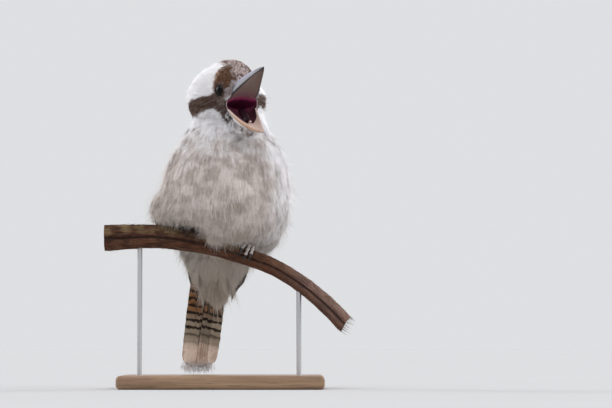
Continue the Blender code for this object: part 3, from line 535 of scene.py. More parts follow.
def plumage():
    """Body feathers and the skin under them: the markings come as numbers stored on the mesh."""
    look = Finish("plumage", Roughness=0.9, Specular_IOR_Level=0.0)
    at = look.place()
    along, tone, puff = (look.attribute(n) for n in ("along", "tone", "puff"))
    patches = look.noise(at, 85.0, 3.0, 0.6)
    fine = look.noise(at, 420.0, 2.0, 0.6)
    grain = look.noise(at, 1900.0, 2.0, 0.7)
    white = look.mix(*WHITE, along.step(0.1, 0.9))
    buff = look.mix(white, BUFF, look.attribute("belly"))
    clouds = look.noise(look.place((1.0, 1.0, 1.25)), 52.0, 3.0, 0.55)
    # Blotches gather where the clumps sink: painted shade in the hollows between clumps
    spots = (clouds * 0.90 + fine * 0.12 - puff * 0.16 + 0.12).step(0.40, 0.72)
    body = look.mix(buff, BLOTCH, look.attribute("mottle") * spots * 0.85)
    # The vent's and lower body's own cream tone, together with painted shade beneath the belly
    cream_and_shade = look.mix(body, CREAM_AND_SHADE, look.attribute("cream_and_shade") * 0.80)
    colour = look.mix(cream_and_shade, LORE, look.attribute("lore") * (0.60 + fine * 0.5))
    dashes = look.noise(look.place((1.0, 1.0, 0.62)), 330.0, 2.0, 0.55)
    crown_pale = look.mix(*CROWN_PALE, fine)
    crown_dark = look.mix(*CROWN_DARK, patches)
    crown = look.mix(crown_pale, crown_dark, (dashes * 0.8 + tone * 0.2).step(0.470, 0.555))
    colour = look.mix(colour, crown, look.attribute("crown"))
    brown = look.mix(*BROW_BROWN, (fine * 0.7 + tone * 0.3).step(0.42, 0.72))
    brown = look.mix(brown, RUST, look.attribute("rust") * (0.50 + patches * 0.5))
    colour = look.mix(colour, brown, look.attribute("warm"))
    stripe = look.mix(*STRIPE, (fine * 0.6 + tone * 0.6).step(0.3, 0.85))
    colour = look.mix(colour, stripe, look.attribute("dark"))
    mantle = look.mix(*MANTLE, (along * 0.5 + tone * 0.5).step(0.45, 1.0))
    colour = look.mix(colour, mantle, look.attribute("mantle"))
    bars = (along * 16.0 + tone * 2.0).sine().step(-0.1, 0.3)
    rump = look.mix(*RUMP, bars)
    colour = look.mix(colour, rump, look.attribute("rump"))
    # Random tone and grain, a little lighter towards the feathers' tips, and lighter on the clumps' tops
    # than in their hollows: painted shade
    shade = 0.83 + tone * 0.05 + grain * 0.12 + along * 0.04 + puff * 0.06
    return look.feed(Base_Color=look.tinted(colour, shade))


def flight(name, web, bar, pale_tip, blue=0.0, bars=0.0, grey=0.0):
    """Wing and tail feathers.

    A map named Vane gives across and along, tone is a number for each feather, and level its height
    on the whole wing or tail.
    """
    look = Finish(name, Roughness=0.6, Specular_IOR_Level=0.12)
    at = look.place()
    across = look.node("SeparateXYZ", {0: look.node("UVMap", uv_map="Vane")})
    along = Value(look, across.socket.node.outputs[1])
    tone = look.attribute("tone")
    level = look.attribute("level")
    fine = look.noise(at, 500.0, 3.0)
    soft = look.noise(at, 130.0, 2.0)
    side = (across - 0.5).size() * 2.0
    colour = look.mix(web, bar, (soft * 0.6 + tone * 0.4).step(0.35, 0.75) * 0.8)
    if bars:
        ripple = look.noise(at, 150.0, 3.0) * 4.4 + tone * 1.2 - 0.8
        wave = (level * bars + ripple).sine() + (soft - 0.5) * 1.1
        # The pale lower tail: its own pale tone, raised as far as it goes to stand also as painted light
        # shining through the feathers from behind
        pale = look.mix(grey, (0.98, 0.83, 0.74), level.step(0.60, 0.78))
        ground = look.mix(colour, pale, level.step(0.26, 0.46))
        strength = (1.0 - level.step(0.50, 0.66) * 0.72) * (0.70 + fine * 0.5)
        colour = look.mix(ground, bar, wave.step(0.08, 0.66) * strength * (1.0 - level.step(0.70, 0.78)))
        stain = soft.step(0.50, 0.62) * level.step(0.64, 0.78) * 0.55
        colour = look.mix(colour, (0.62, 0.48, 0.40), stain)
    if blue:
        spot = (fine * 0.7 + soft * 0.5 + tone * 0.25).step(0.62, 0.86) * along.step(0.35, 0.8)
        colour = look.mix(colour, (0.38, 0.58, 0.72), spot * blue)
    tip = level.step(0.90, 0.985) if bars else along.step(0.93, 1.0) * 0.5
    colour = look.mix(colour, pale_tip, tip)
    shaft = 1.0 - side.step(0.02, 0.07)
    colour = look.mix(colour, (0.05, 0.035, 0.03), shaft * (0.25 if bars else 0.6))
    barb = ((along * 220.0 - side * 70.0) + fine * 3.0).sine()
    colour = look.tinted(colour, 0.86 + barb * 0.06 + fine * 0.16)
    return look.feed(Base_Color=colour, Normal=look.bump(barb * 0.5 + fine * 0.6, 0.00012, 0.55))


def horn_dark():
    """Upper bill: blue-black outside with a painted highlight along the ridge, grey-brown palate, dark
    edges and tip.
    """
    look = Finish("bill_upper_horn", Specular_IOR_Level=0.3, Coat_Weight=0.08, Coat_Roughness=0.2)
    at = look.place((1, 1, 1))
    fine = look.noise(look.place((60, 60, 60)), 12.0, 4.0)
    streak = look.noise(look.place((1, 1, 1), "Horn"), 9.0, 3.0)
    inner, ahead, edge = (look.attribute(n) for n in ("inner", "ahead", "edge"))
    cloud = look.noise(at, 160.0, 3.0)
    outside = look.mix((0.055, 0.057, 0.070), (0.10, 0.105, 0.135), cloud)
    # A painted highlight: a pale blue-white band along the ridge, standing for light glancing off it
    painted_ridge_highlight = (1.0 - edge.step(0.50, 0.78)) * ahead.step(0.16, 0.34) * (1.0 - ahead.step(0.74, 0.88))
    outside = look.mix(outside, (0.375, 0.375, 0.52), painted_ridge_highlight * (0.65 + streak * 0.5))
    root = (1.0 - ahead.step(0.06, 0.24)) * edge.step(0.45, 0.9)
    outside = look.mix(outside, (0.40, 0.38, 0.42), root)
    outside = look.mix(outside, (0.018, 0.016, 0.020), edge.step(0.88, 0.97) * ahead.step(0.10, 0.20))
    palate = look.mix((0.150, 0.096, 0.080), (0.225, 0.150, 0.126), cloud)
    root = look.mix(palate, (0.22, 0.10, 0.12), 1.0 - ahead.step(0.08, 0.26))
    tipped = look.mix(root, (0.05, 0.035, 0.032), ahead.step(0.80, 0.93))
    rimmed = look.mix(tipped, (0.055, 0.04, 0.038), edge.step(0.80, 0.97))
    colour = look.mix(outside, rimmed, inner)
    colour = look.tinted(colour, 0.88 + fine * 0.14 + streak * 0.10)
    rough = 0.36 + inner * 0.20 + cloud * 0.12
    relief = look.bump(streak * 0.7 + fine * 0.3, 0.00015, 0.4)
    return look.feed(Base_Color=colour, Roughness=rough, Normal=relief)


def horn_pale():
    """Lower bill: pale horn, pinkish trough, dark stain towards the tip's edges."""
    look = Finish("bill_lower_horn", Specular_IOR_Level=0.5, Coat_Weight=0.15, Coat_Roughness=0.2)
    at = look.place()
    fine = look.noise(at, 700.0, 4.0)
    streak = look.noise(look.place((1, 1, 1), "Horn"), 9.0, 3.0)
    inner, ahead = (look.attribute(n) for n in ("inner", "ahead"))
    cloud = look.noise(at, 150.0, 3.0)
    outside = look.mix((0.50, 0.28, 0.165), (0.60, 0.38, 0.26), cloud)
    outside = look.mix(outside, (0.62, 0.48, 0.45), 1.0 - ahead.step(0.10, 0.30))
    stained = look.mix(outside, (0.16, 0.09, 0.06), ahead.step(0.84, 0.98) * cloud.step(0.35, 0.6))
    trough = look.mix((0.46, 0.31, 0.25), (0.54, 0.42, 0.38), cloud)
    stain = ahead.step(0.76, 0.95) * cloud.step(0.42, 0.58) * 0.85
    inside = look.mix(trough, (0.16, 0.10, 0.075), stain)
    colour = look.tinted(look.mix(stained, inside, inner), 0.86 + fine * 0.16 + streak * 0.10)
    rough = 0.36 + cloud * 0.16
    relief = look.bump(streak * 0.6 + fine * 0.4, 0.00012, 0.4)
    return look.feed(Base_Color=colour, Roughness=rough, Normal=relief)


def moist_skin():
    """Mouth lining: mauve at the rim, moist, and darker inwards, its own dark plum deepened by painted
    shade and the floor nearly black with painted shade.
    """
    look = Finish("mouth_skin", Coat_Weight=0.15, Coat_Roughness=0.15, Specular_IOR_Level=0.3)
    at = look.place()
    deep = look.attribute("deep")
    fold = look.noise(at, 260.0, 4.0)
    over = look.attribute("over")
    roof = look.mix((0.22, 0.105, 0.105), (0.34, 0.040, 0.120), deep.step(0.06, 0.22))
    # The floor turns nearly black a few millimetres in: painted shade inside the open mouth
    floor = look.mix((0.50, 0.35, 0.33), (0.030, 0.005, 0.010), deep.step(0.005, 0.065))
    web = look.mix((0.56, 0.44, 0.50), (0.24, 0.105, 0.155), deep.step(0.0, 0.05))
    web = look.mix(web, (0.080, 0.010, 0.032), deep.step(0.08, 0.24))
    near = look.mix(look.mix(floor, web, over.step(0.0, 0.45)), roof, over.step(0.60, 1.0))
    # Deep in the throat: the lining's dark plum, darkened further as painted shade
    colour = look.mix(near, (0.140, 0.016, 0.050), deep.step(0.24, 0.52))
    colour = look.tinted(colour, 0.75 + fold * 0.5)
    return look.feed(Base_Color=colour, Roughness=0.34 + fold * 0.2, Normal=look.bump(fold, 0.0004, 0.5))


def tongue_skin():
    """Nearly black along its body as painted shade inside the mouth; pale pink at its tip, its own pink
    with a painted highlight.
    """
    look = Finish("tongue_skin", Specular_IOR_Level=0.2, Coat_Weight=0.08, Coat_Roughness=0.3)
    grain = look.noise(look.place(), 900.0, 3.0)
    # The tip's pale pink stands also as a painted highlight; the rest is painted shade
    tip = look.attribute("ahead").step(0.88, 0.97)
    colour = look.tinted(look.mix((0.016, 0.003, 0.007), (0.85, 0.55, 0.55), tip), 0.8 + grain * 0.4)
    rough = 0.35 + grain * 0.2
    return look.feed(Base_Color=colour, Roughness=rough, Normal=look.bump(grain, 0.0001, 0.5))


def mixed_tones(name, first, second, scale, rough, depth, coat=0.0, shine=0.5):
    """Skin, horn or fibre of two mixed tones with a fine relief."""
    look = Finish(name, Coat_Weight=coat, Coat_Roughness=0.15, Specular_IOR_Level=shine)
    at = look.place()
    cloud = look.noise(at, scale, 3.0)
    fine = look.noise(at, scale * 6, 3.0)
    colour = look.tinted(look.mix(first, second, cloud.step(0.3, 0.7)), 0.85 + fine * 0.3)
    return look.feed(Base_Color=colour, Roughness=rough + fine * 0.15, Normal=look.bump(fine, depth, 0.5))


def eye_ball():
    """A nearly black iris and pupil: gaze is 1 where the eye looks and falls to its rim."""
    look = Finish("eye_glass", Roughness=0.10, Specular_IOR_Level=0.10)
    gaze = look.attribute("gaze")
    fibre = look.noise(look.place(), 900.0, 3.0)
    iris = look.mix((0.004, 0.003, 0.0025), (0.010, 0.006, 0.004), fibre)
    pupil = look.mix(iris, (0.003, 0.003, 0.004), gaze.step(0.885, 0.90))
    colour = look.mix((0.010, 0.007, 0.006), pupil, gaze.step(0.60, 0.64))
    return look.feed(Base_Color=colour)


def stalk_bark():
    """Dried palm stalk: red-brown, ridged along its length, with painted shade in its groove, painted
    highlights on its crests and painted light over the upper front of its right part.
    """
    look = Finish("stalk_bark", Specular_IOR_Level=0.10)
    lines = look.noise(look.place((1.0, 26.0, 1), "Fibre"), 7.0, 5.0, 0.6)
    thin = look.noise(look.place((3.0, 120.0, 1), "Fibre"), 7.0, 3.0, 0.6)
    patch = look.noise(look.place(), 60.0, 4.0)
    groove, ridge, pale = (look.attribute(n) for n in ("groove", "ridge", "pale"))
    strands = (lines * 0.7 + patch * 0.3).step(0.38, 0.62)
    base = look.mix((0.018, 0.008, 0.005), (0.165, 0.070, 0.040), strands)
    base = look.mix(base, (0.012, 0.006, 0.005), thin.step(0.56, 0.66) * 0.7)
    # Painted highlights: paler brown along the ridges' crests
    crest_highlight = look.mix(base, (0.24, 0.120, 0.085), ridge * thin.step(0.42, 0.34) * 0.6)
    # Painted light: pale grey-pink over the upper front of the right part
    lit_front = look.mix(crest_highlight, (0.30, 0.20, 0.175), pale * (lines * 0.6 + thin * 0.4).step(0.38, 0.60) * 0.8)
    lichen = (patch * 0.5 + lines * 0.5).step(0.44, 0.58) * look.attribute("upper") * 0.85
    olive = look.mix(lit_front, (0.17, 0.125, 0.065), lichen)
    # Painted shade: nearly black in the groove along the stalk
    dark = look.mix(olive, (0.018, 0.010, 0.009), groove * 0.85)
    colour = look.tinted(dark, 0.80 + thin * 0.4)
    relief = look.bump(lines * 0.6 + thin * 0.4, 0.0006, 0.8)
    return look.feed(Base_Color=colour, Roughness=0.72 + thin * 0.2, Normal=relief)


def stained_wood():
    """The base's board: fine grain along it, under a thin clear coat."""
    look = Finish("base_wood", Coat_Weight=0.2, Coat_Roughness=0.25)
    grain = look.noise(look.place((3.0, 60.0, 60.0)), 2.2, 6.0, 0.65)
    rings = (look.noise(look.place((1.2, 14.0, 14.0)), 2.0, 2.0) * 40.0).sine()
    pores = look.noise(look.place((14.0, 420.0, 420.0)), 2.0, 2.0).step(0.56, 0.66)
    figure = grain.step(0.3, 0.7) * 0.7 + rings * 0.15 + 0.15
    colour = look.mix((0.20, 0.115, 0.06), (0.34, 0.215, 0.125), figure)
    colour = look.mix(colour, (0.10, 0.055, 0.03), pores * 0.6)
    relief = look.bump(grain * 0.7 - pores * 0.5, 0.0003, 0.35)
    return look.feed(Base_Color=colour, Roughness=0.42 + grain * 0.18, Normal=relief)


def brushed_rod():
    """The rods' steel, brushed along their length."""
    look = Finish("rod_steel", Metallic=1.0)
    lines = look.noise(look.place((400.0, 400.0, 6.0)), 3.0, 3.0)
    colour = look.mix((0.46, 0.46, 0.47), (0.64, 0.64, 0.65), lines)
    relief = look.bump(lines, 0.00005, 0.4)
    return look.feed(Base_Color=colour, Roughness=0.24 + lines * 0.2, Normal=relief)


def studio_paper():
    """The pale floor."""
    look = Finish("studio_paper", Roughness=0.95, Specular_IOR_Level=0.1)
    tone = look.noise(look.place(), 3.0, 2.0)
    return look.feed(Base_Color=look.mix((0.462, 0.462, 0.466), (0.482, 0.482, 0.486), tone))


# Body


def trunk_at(height, angle, lift=0.0):
    """Points on the trunk in the bird's frame. Angle 0 is the breast, 90 the left side, 180 the back."""
    height, angle, lift = np.broadcast_arrays(*(np.asarray(v, float) for v in (height, angle, lift)))
    middle, half, front, back = np.moveaxis(read(TRUNK, height), -1, 0)
    turn = np.radians(angle)
    signed = (angle + 180) % 360 - 180
    side = np.abs(signed)
    half = half * (1 - WING_BED * ease(side, *WING_BED_ANGLES))
    for flank, amount, level, tall, where, wide in FLANKS:
        near = np.exp(-(((height - level) / tall) ** 2) - ((side - where) / wide) ** 2)
        half = half + amount * near * (np.sin(turn) * flank > 0)
    depth = np.where(np.cos(turn) > 0, front, back)
    lap = ease(signed, *LAP_ANGLES[:2]) * (1 - ease(signed, *LAP_ANGLES[2:]))
    lap = 1 - LAP * lap * (1 - ease(height, *LAP_END)) * ease(height, *LAP_START)
    half, depth = half * lap, depth * lap
    aside = VENT_ASIDE * (1 - ease(height, *VENT_HEIGHTS))
    across = aside + np.sin(turn) * (half + lift)
    return np.stack([across, middle - np.cos(turn) * (depth + lift), height], axis=-1)


def head_rings(count=40, sides=48):
    ahead = np.linspace(HEAD[0][0], HEAD[-1][0], count)
    top, bottom, level, half = (c[:, None] for c in np.moveaxis(read(HEAD, ahead), -1, 0))
    turn = np.linspace(0, 2 * math.pi, sides, endpoint=False)
    rise = np.sign(np.cos(turn)) * np.abs(np.cos(turn)) ** HEAD_SQUARE
    wide = np.sign(np.sin(turn)) * np.abs(np.sin(turn)) ** HEAD_SQUARE
    tall = level + rise * np.where(rise > 0, top - level, level - bottom)
    return np.stack([half * wide, np.broadcast_to(-ahead[:, None], tall.shape), tall], axis=-1)


def ball_rings(middle, half, turn=(0, 0, 0), count=24, sides=32):
    """An ellipsoid as rings, and its two ends."""
    polar = np.linspace(0, math.pi, count + 2)[1:-1, None]
    round_it = np.linspace(0, 2 * math.pi, sides, endpoint=False)
    across, deep = np.sin(polar) * np.cos(round_it), np.sin(polar) * np.sin(round_it)
    rings = np.stack([across, deep, np.cos(polar) + 0 * round_it], axis=-1)
    place = Matrix.Translation(middle) @ Euler(turn).to_matrix().to_4x4() @ Matrix.Diagonal((*half, 1))
    ends = placed(place, [[0, 0, 1], [0, 0, -1]])
    return placed(place, rings), ends


def scoop_of(stations, hollow, distance):
    """How deep the inner side of a bill is hollowed along its middle."""
    outer = read(stations, distance)[..., 1]
    return hollow * np.minimum(1.0, outer / 0.009) * ease(stations[-1][0] - distance, 0.0, 0.02)


def hinged(points, tip, turn, sag):
    """Points of a bill lying straight ahead, sagged along its middle and turned about the hinge."""
    share = np.clip(-points[..., 1] / tip, 0, 1)
    bent = points - np.stack([0 * share, 0 * share, sag * 4 * share * (1 - share)], axis=-1)
    return bent @ np.array(Euler((turn, 0, 0)).to_matrix()).T


def bill_rings(bill, hollow=None, grow=0.0, count=60, ridge_points=RIDGE_POINTS, start=None):
    """A bill in the head's frame, each ring over its ridge and back across its hollow inner side."""
    _, stations, tip, own_hollow, side, turn, sag = bill
    hollow = own_hollow if hollow is None else hollow
    distance = np.linspace(start or stations[0][0], stations[-1][0], count)
    half, outer = np.moveaxis(read(stations, distance), -1, 0)
    scoop = scoop_of(stations, hollow, distance)
    half, outer = half + grow, outer + 2 * grow
    arc = math.pi * (1 - np.arange(ridge_points) / (ridge_points - 1))
    over_x = half[:, None] * np.cos(arc)
    over_z = side * (outer[:, None] * np.sin(arc) ** 0.85 - grow)
    share = np.linspace(0.95, -0.95, INNER_POINTS)
    depth = scoop[:, None] * np.clip(1 - (np.abs(share) / 0.9) ** 2, 0, 1)
    keel = 0.0005 * np.exp(-((share / 0.07) ** 2)) * ease(distance, 0.012, 0.03)[:, None] * (hollow > 0)
    under_x = share * half[:, None]
    under_z = side * (depth - grow - keel)
    x, z = np.hstack([over_x, under_x]), np.hstack([over_z, under_z])
    z -= side * TIP_DROOP * (distance[:, None] / tip) ** 4
    y = np.broadcast_to(-distance[:, None], x.shape).copy()
    y[0] += grow
    end = np.array([0, -tip - grow, -side * TIP_DROOP / 2])
    return hinged(np.stack([x, y, z], axis=-1), tip, turn, sag), hinged(end, tip, turn, sag)


def gape_ring(top, bottom, corner_top, corner_bottom, pout=0.0, gap=0.0003):
    """A ring over the palate, down the web of one corner, back over the trough and up the other web.

    top, bottom and the corners are its distances ahead of the hinge. The webs stand out sideways by pout.
    """
    share = np.linspace(0.93, -0.93, RIM_POINTS)
    bow = np.sqrt(np.clip(1 - (share / 0.93) ** 2, 0, 1)) ** 0.7
    arcs = []
    for bill, reach, corner in zip(BILLS, (top, bottom), (corner_top, corner_bottom)):
        _, stations, tip, hollow, side, turn, sag = bill
        distance = corner + (reach - corner) * bow
        half = read(stations, distance)[:, 0]
        depth = scoop_of(stations, hollow, distance) * np.clip(1 - (np.abs(share) / 0.9) ** 2, 0, 1)
        arc = np.stack([share * half, -distance, side * (depth - gap)], axis=-1)
        arcs.append(hinged(arc, tip, turn, sag))
    over, under = arcs
    blend = np.linspace(0, 1, WEB_POINTS + 2)[1:-1, None]
    bulge = np.sin(math.pi * blend)
    webs = []
    for start, end, side in ((over[-1], under[-1], -1), (over[0], under[0], 1)):
        web = start + (end - start) * blend
        web[:, 1:2] *= 1 - 0.20 * bulge
        web[:, 0:1] += side * pout * np.sqrt(bulge)
        webs.append(web)
    return np.concatenate([over, webs[0], under[::-1], webs[1][::-1]])


def throat_ring(place, level, half, above, below):
    """A ring of the throat behind the hinge, its points in step with those of the gape's rings."""
    arc = np.linspace(0.10 * math.pi, 0.90 * math.pi, RIM_POINTS)
    turn_down = np.linspace(0.90, 1.10, WEB_POINTS + 2)[1:-1] * math.pi
    turn_up = np.linspace(1.90, 2.10, WEB_POINTS + 2)[1:-1] * math.pi
    turn = np.concatenate([arc, turn_down, arc + math.pi, turn_up])
    rise = np.sin(turn)
    tall = level + rise * np.where(rise > 0, above, below)
    return np.stack([half * np.cos(turn), np.full(turn.shape, -place), tall], axis=-1)


def mouth_rings(count=60, lift=0.0, folds=0.0):
    """The mouth's hollow as rings from its rim to the throat, lift metres outside its skin.

    The second result holds the ways out of the hollow at each point.
    """
    knots = [gape_ring(*row) for row in GAPE] + [throat_ring(*row) for row in THROAT]
    s = np.linspace(0, 1, count)
    flat = np.stack(knots).reshape(len(knots), -1)
    rings = read(np.column_stack([MOUTH_PLACES, flat]), s).reshape(count, -1, 3)
    around = np.roll(rings, -1, axis=1) - np.roll(rings, 1, axis=1)
    out = unit(np.cross(np.gradient(rings, axis=0), around))
    outward = np.sum(out * (rings - rings.mean(axis=1, keepdims=True)), axis=(1, 2))
    out *= np.sign(outward)[:, None, None]
    turn = np.linspace(0, 2 * math.pi, rings.shape[1], endpoint=False)
    fold = folds * np.sin(turn * 13)[None] * (np.sin(s * math.pi) ** 2)[:, None]
    return rings + out * (lift + fold)[..., None], out


def eye_place(side):
    return np.array([side * EYE_MIDDLE[0], EYE_MIDDLE[1], EYE_MIDDLE[2]])


def from_eyes(head):
    """Distance of points of the head's frame from the nearer eye."""
    return np.minimum(*(np.linalg.norm(head - eye_place(side), axis=1) for side in (-1, 1)))


def coat_depth(points):
    """How far the skin lies inside the solids: the depth of the feathers over it."""
    head = local(SKULL, points)
    bill = np.linalg.norm(head - np.array(BILL_ROOT), axis=1)
    eyes = from_eyes(head)
    face = 0.0010 + 0.0032 * ease(np.minimum(bill - 0.016, (eyes - 0.006) * 1.3), 0.0, 0.026)
    body = 0.0075 - 0.0020 * ease(-points[:, 2], -0.135, -0.105)
    mixed = ease(head[:, 1] * 0.35 - head[:, 2], -0.002, 0.034)
    return face + (body - face) * mixed


def make_skin():
    """Trunk, neck, head and chin fused into one skin, inside the solids by the coat's depth."""
    heights = np.linspace(TRUNK[0][0], TRUNK[-1][0], 110)
    rings = trunk_at(heights[:, None], np.arange(0, 360, 3.75)[None, :])
    parts = [tube_mesh("trunk", placed(BIRD, rings))]
    ends = placed(SKULL, [(0, -ahead, level) for ahead, level in (HEAD_BACK, HEAD_FRONT)])
    parts.append(tube_mesh("cranium", placed(SKULL, head_rings()), None, ends))
    chin, tips = ball_rings(CHIN_MIDDLE, CHIN_HALF, (JAW_DROP, 0, 0))
    parts.append(tube_mesh("chin", placed(SKULL, chin), None, placed(SKULL, tips)))
    skin = joined("skin", parts)
    fuse = skin.modifiers.new("fuse", "REMESH")
    fuse.mode, fuse.voxel_size = "VOXEL", 0.0020
    soften = skin.modifiers.new("soften", "SMOOTH")
    soften.factor, soften.iterations = 0.5, 9
    settled(skin)
    outer = points_of(skin)
    normals = np.empty(len(outer) * 3, np.float32)
    skin.data.vertices.foreach_get("normal", normals)
    inner = outer - normals.reshape(-1, 3) * coat_depth(outer)[:, None]
    skin.data.vertices.foreach_set("co", inner.astype(np.float32).ravel())
    skin.data.update()
    return skin, BVHTree.FromObject(skin, bpy.context.evaluated_depsgraph_get())


def cut_skin(skin):
    """Opens the mouth, and beds the bills and the eyes."""
    near, far, half = 0.0092, 0.12, 0.06
    up, down = math.tan(BILL_LIFT), math.tan(JAW_DROP)
    corners = ((-near, near * up), (-far, far * up), (-far, -far * down), (-near, -near * down))
    wedge = placed(SKULL, [[(x, y, z) for y, z in corners] for x in (-half, half)])
    tools = [tube_mesh("wedge", wedge)]
    rings, _ = mouth_rings(24, LINING_THICK + 0.0002)
    rings = np.concatenate([rings[:1] - np.array([0, 0.03, 0]), rings])
    tools.append(tube_mesh("throat", placed(SKULL, rings)))
    for bill in BILLS:
        rings, end = bill_rings(bill, -0.0012, 0.0002, 14, 12)
        tools.append(tube_mesh(bill[0] + "_bed", placed(SKULL, rings), None, (None, placed(SKULL, end))))
    for side in (-1, 1):
        rings, ends = ball_rings(eye_place(side), (EYE_RADIUS - 0.0002,) * 3, count=14, sides=20)
        tools.append(tube_mesh("socket", placed(SKULL, rings), None, placed(SKULL, ends)))
    for tool in tools:
        step = skin.modifiers.new("open", "BOOLEAN")
        step.operation, step.solver, step.object = "DIFFERENCE", "MANIFOLD", tool
        settled(skin)
        bpy.data.objects.remove(tool)
    skin.data.shade_smooth()
    skin.data.materials.clear()


def unwrap(skin):
    """A map of the skin's own shape, on which every feather finds its root's place."""
    skin.select_set(True)
    bpy.context.view_layer.objects.active = skin
    bpy.ops.object.mode_set(mode="EDIT")
    bpy.ops.mesh.select_all(action="SELECT")
    bpy.ops.uv.smart_project(angle_limit=math.radians(66), island_margin=0.006)
    bpy.ops.object.mode_set(mode="OBJECT")
    skin.select_set(False)
    skin.data.uv_layers.active.name = "OFBake"


# Markings, the same on skin and coat


def band(value, low, high, soft):
    """1 between two edges, softly."""
    return ease(value, low - soft, low + soft) * (1 - ease(value, high - soft, high + soft))


def near_line(points, start, end):
    """Distance from a straight line between two points."""
    start, way = np.array(start), np.array(end) - np.array(start)
    share = np.clip((points - start) @ way / (way @ way), 0, 1)
    return np.linalg.norm(points - start - share[:, None] * way, axis=1)


def stroke(points, start, end, inner, outer, ragged):
    """1 along a short straight line, with a soft ragged edge."""
    return 1 - ease(near_line(points, start, end) + ragged, inner, outer)


def raggedness(points):
    """By how much the edge of a marking wanders, in metres."""
    return waves(points, 0.009, 3) * 0.0009 + waves(points, 0.004, 4) * 0.0007


def face_markings(head, points):
    """The share of each marking of the head, the chin's with painted shadow in it, at points of the head's
    frame and of the row frame.
    """
    x, ahead, up = np.abs(head[:, 0]), -head[:, 1], head[:, 2]
    ragged = raggedness(points)
    low_edge, high_edge = (np.interp(ahead, *zip(*curve)) for curve in (STRIPE_LOW, STRIPE_HIGH))
    stripe = band(up + ragged, low_edge, high_edge, 0.0011)
    stripe = stripe * ease(x, 0.009, 0.012) * ease(ahead + ragged, -0.057, -0.051)
    gaps = 1 - ease(np.abs(waves(points, 0.0032, 9)), 0.05, 0.40)
    stripe *= 1 - 0.28 * ease(ahead, -0.008, 0.002) * gaps
    stripe *= 1 - ease(ahead + 0.35 * (up - 0.006), 0.0065, 0.0095)
    ring = 1 - ease(from_eyes(head) + ragged * 0.6, 0.0096, 0.0112)
    rear, front = (np.interp(up, *zip(*curve)) for curve in (PATCH_REAR, PATCH_FRONT))
    warm = band(ahead + ragged, rear, front, 0.0010)
    warm = warm * ease(up, 0.011, 0.015) * (1 - ease(up + ragged, 0.040, 0.043))
    warm *= ease(x + ragged * 0.6, 0.0062, 0.0082)
    rust = warm * (1 - ease(ahead + ragged * 2, rear + 0.0018, rear + 0.0042))
    width = 0.0118 - 0.0030 * ease(-ahead, 0.010, 0.045)
    crown = (1 - ease(x + ragged * 1.2, width - 0.0012, width + 0.0012)) * ease(up, 0.010, 0.016)
    crown *= ease(ahead, -0.066, -0.040)
    lore = ease(ahead, 0.004, 0.010) * ease(x, 0.006, 0.010) * (1 - ease(up, 0.028, 0.036))
    lore = lore * ease(up, 0.000, 0.006)
    place = np.column_stack([x, ahead, up])
    malar = np.maximum(*(stroke(place, *row, ragged) for row in GAPE_STROKES))
    # The dark under the chin: partly darker stained feathers, partly painted shadow cast by the lower bill
    under = stroke(np.column_stack([head[:, 0], ahead, up]), *CHIN_STAIN_AND_SHADOW, ragged)
    return {
        "dark": np.clip(np.maximum.reduce([stripe, malar, under * 0.75, ring]), 0, 1),
        "warm": warm,
        "rust": rust,
        "lore": lore * (1 - warm),
        "crown": crown * (1 - warm),
    }


def body_markings(head, points):
    """The share of each marking of neck and body, with the painted shade and light that are mixed into
    them, at points of the head's frame and of the row frame.
    """
    ragged = raggedness(points)
    across, deep, height = local(BIRD, points).T
    angle = np.abs(np.degrees(np.arctan2(across, read(TRUNK, height)[:, 0] - deep)))
    left = across > 0
    signed = np.where(left, angle, -angle * 0.3)
    notch = np.exp(-(((height - np.where(left, 0.290, 0.302)) / 0.0060) ** 2))
    back_edge = 118 + 14 * ease(height, 0.285, 0.315) - np.where(left, 46, 38) * notch + ragged * 2500
    mantle = ease(angle, back_edge - 5, back_edge + 5) * (1 - ease(height + ragged * 2, 0.303, 0.310))
    rump = mantle * (1 - ease(height + ragged * 2, 0.150, 0.172))
    neck = 1 - ease(height, 0.285, 0.310)
    front = 1 - ease(angle, 95, 125) * 0.6
    breast = neck * front * ease(height, 0.150, 0.190)
    vent = 1 - ease(height, 0.150, 0.178)
    # Painted shade: more of the darker cream low on the bird's right side
    flank = 0.30 * ease(-signed, 8, 20) * (1 - ease(height, 0.205, 0.235))
    nape = ease(angle, 100, 150) * ease(height, 0.292, 0.304) * (1 - ease(head[:, 2], 0.004, 0.016)) * 0.55
    mottle = np.clip(0.10 + 0.80 * breast + nape, 0, 1) * (1 - 0.85 * vent)
    # Darker cream over the vent and low on the body: partly their own cream tone, partly painted shade
    # beneath the belly
    cream_and_shade = np.clip(vent + flank + 0.55 * (1 - ease(height, 0.170, 0.232)), 0, 1)
    # Buff on the lower body, faded out on the bird's left side so that this side looks paler: painted
    # light
    belly = (1 - ease(height, 0.245, 0.300)) * (1 - 0.9 * ease(signed, 15, 55))
    return {
        # The mottling fades on the bird's left side, painting that side paler as if lit: painted light
        "mottle": mottle * (1 - 0.6 * ease(signed, 20, 60)),
        "cream_and_shade": cream_and_shade * (1 - mantle),
        "belly": belly * (1 - mantle),
        "mantle": mantle * (1 - rump),
        "rump": rump,
    }


def markings(points):
    """The share of each marking at points of the row frame."""
    head = local(SKULL, points)
    return {**face_markings(head, points), **body_markings(head, points)}


def mark(obj, marks, along, tone, puff):
    """Stores the markings and the numbers of each feather on the mesh."""
    for name, values in {**marks, "along": along, "tone": tone, "puff": puff}.items():
        put(obj, name, values)


def puffs(points):
    """Where the plumage stands out in soft clumps, from -1 to 1."""
    return waves(points, 0.024, 21) * 0.6 + waves(points, 0.013, 22) * 0.4


# Coat

PUFF_STEP = 0.002
CHEEK = (0.0380, 0.0230, 0.0120)
CHEEK_REACH = 0.0170
BARE_FOOT = (-0.042, 0.201)  # across and height of the fluff's shortest place, over the right foot
BARE_REACH = 0.013


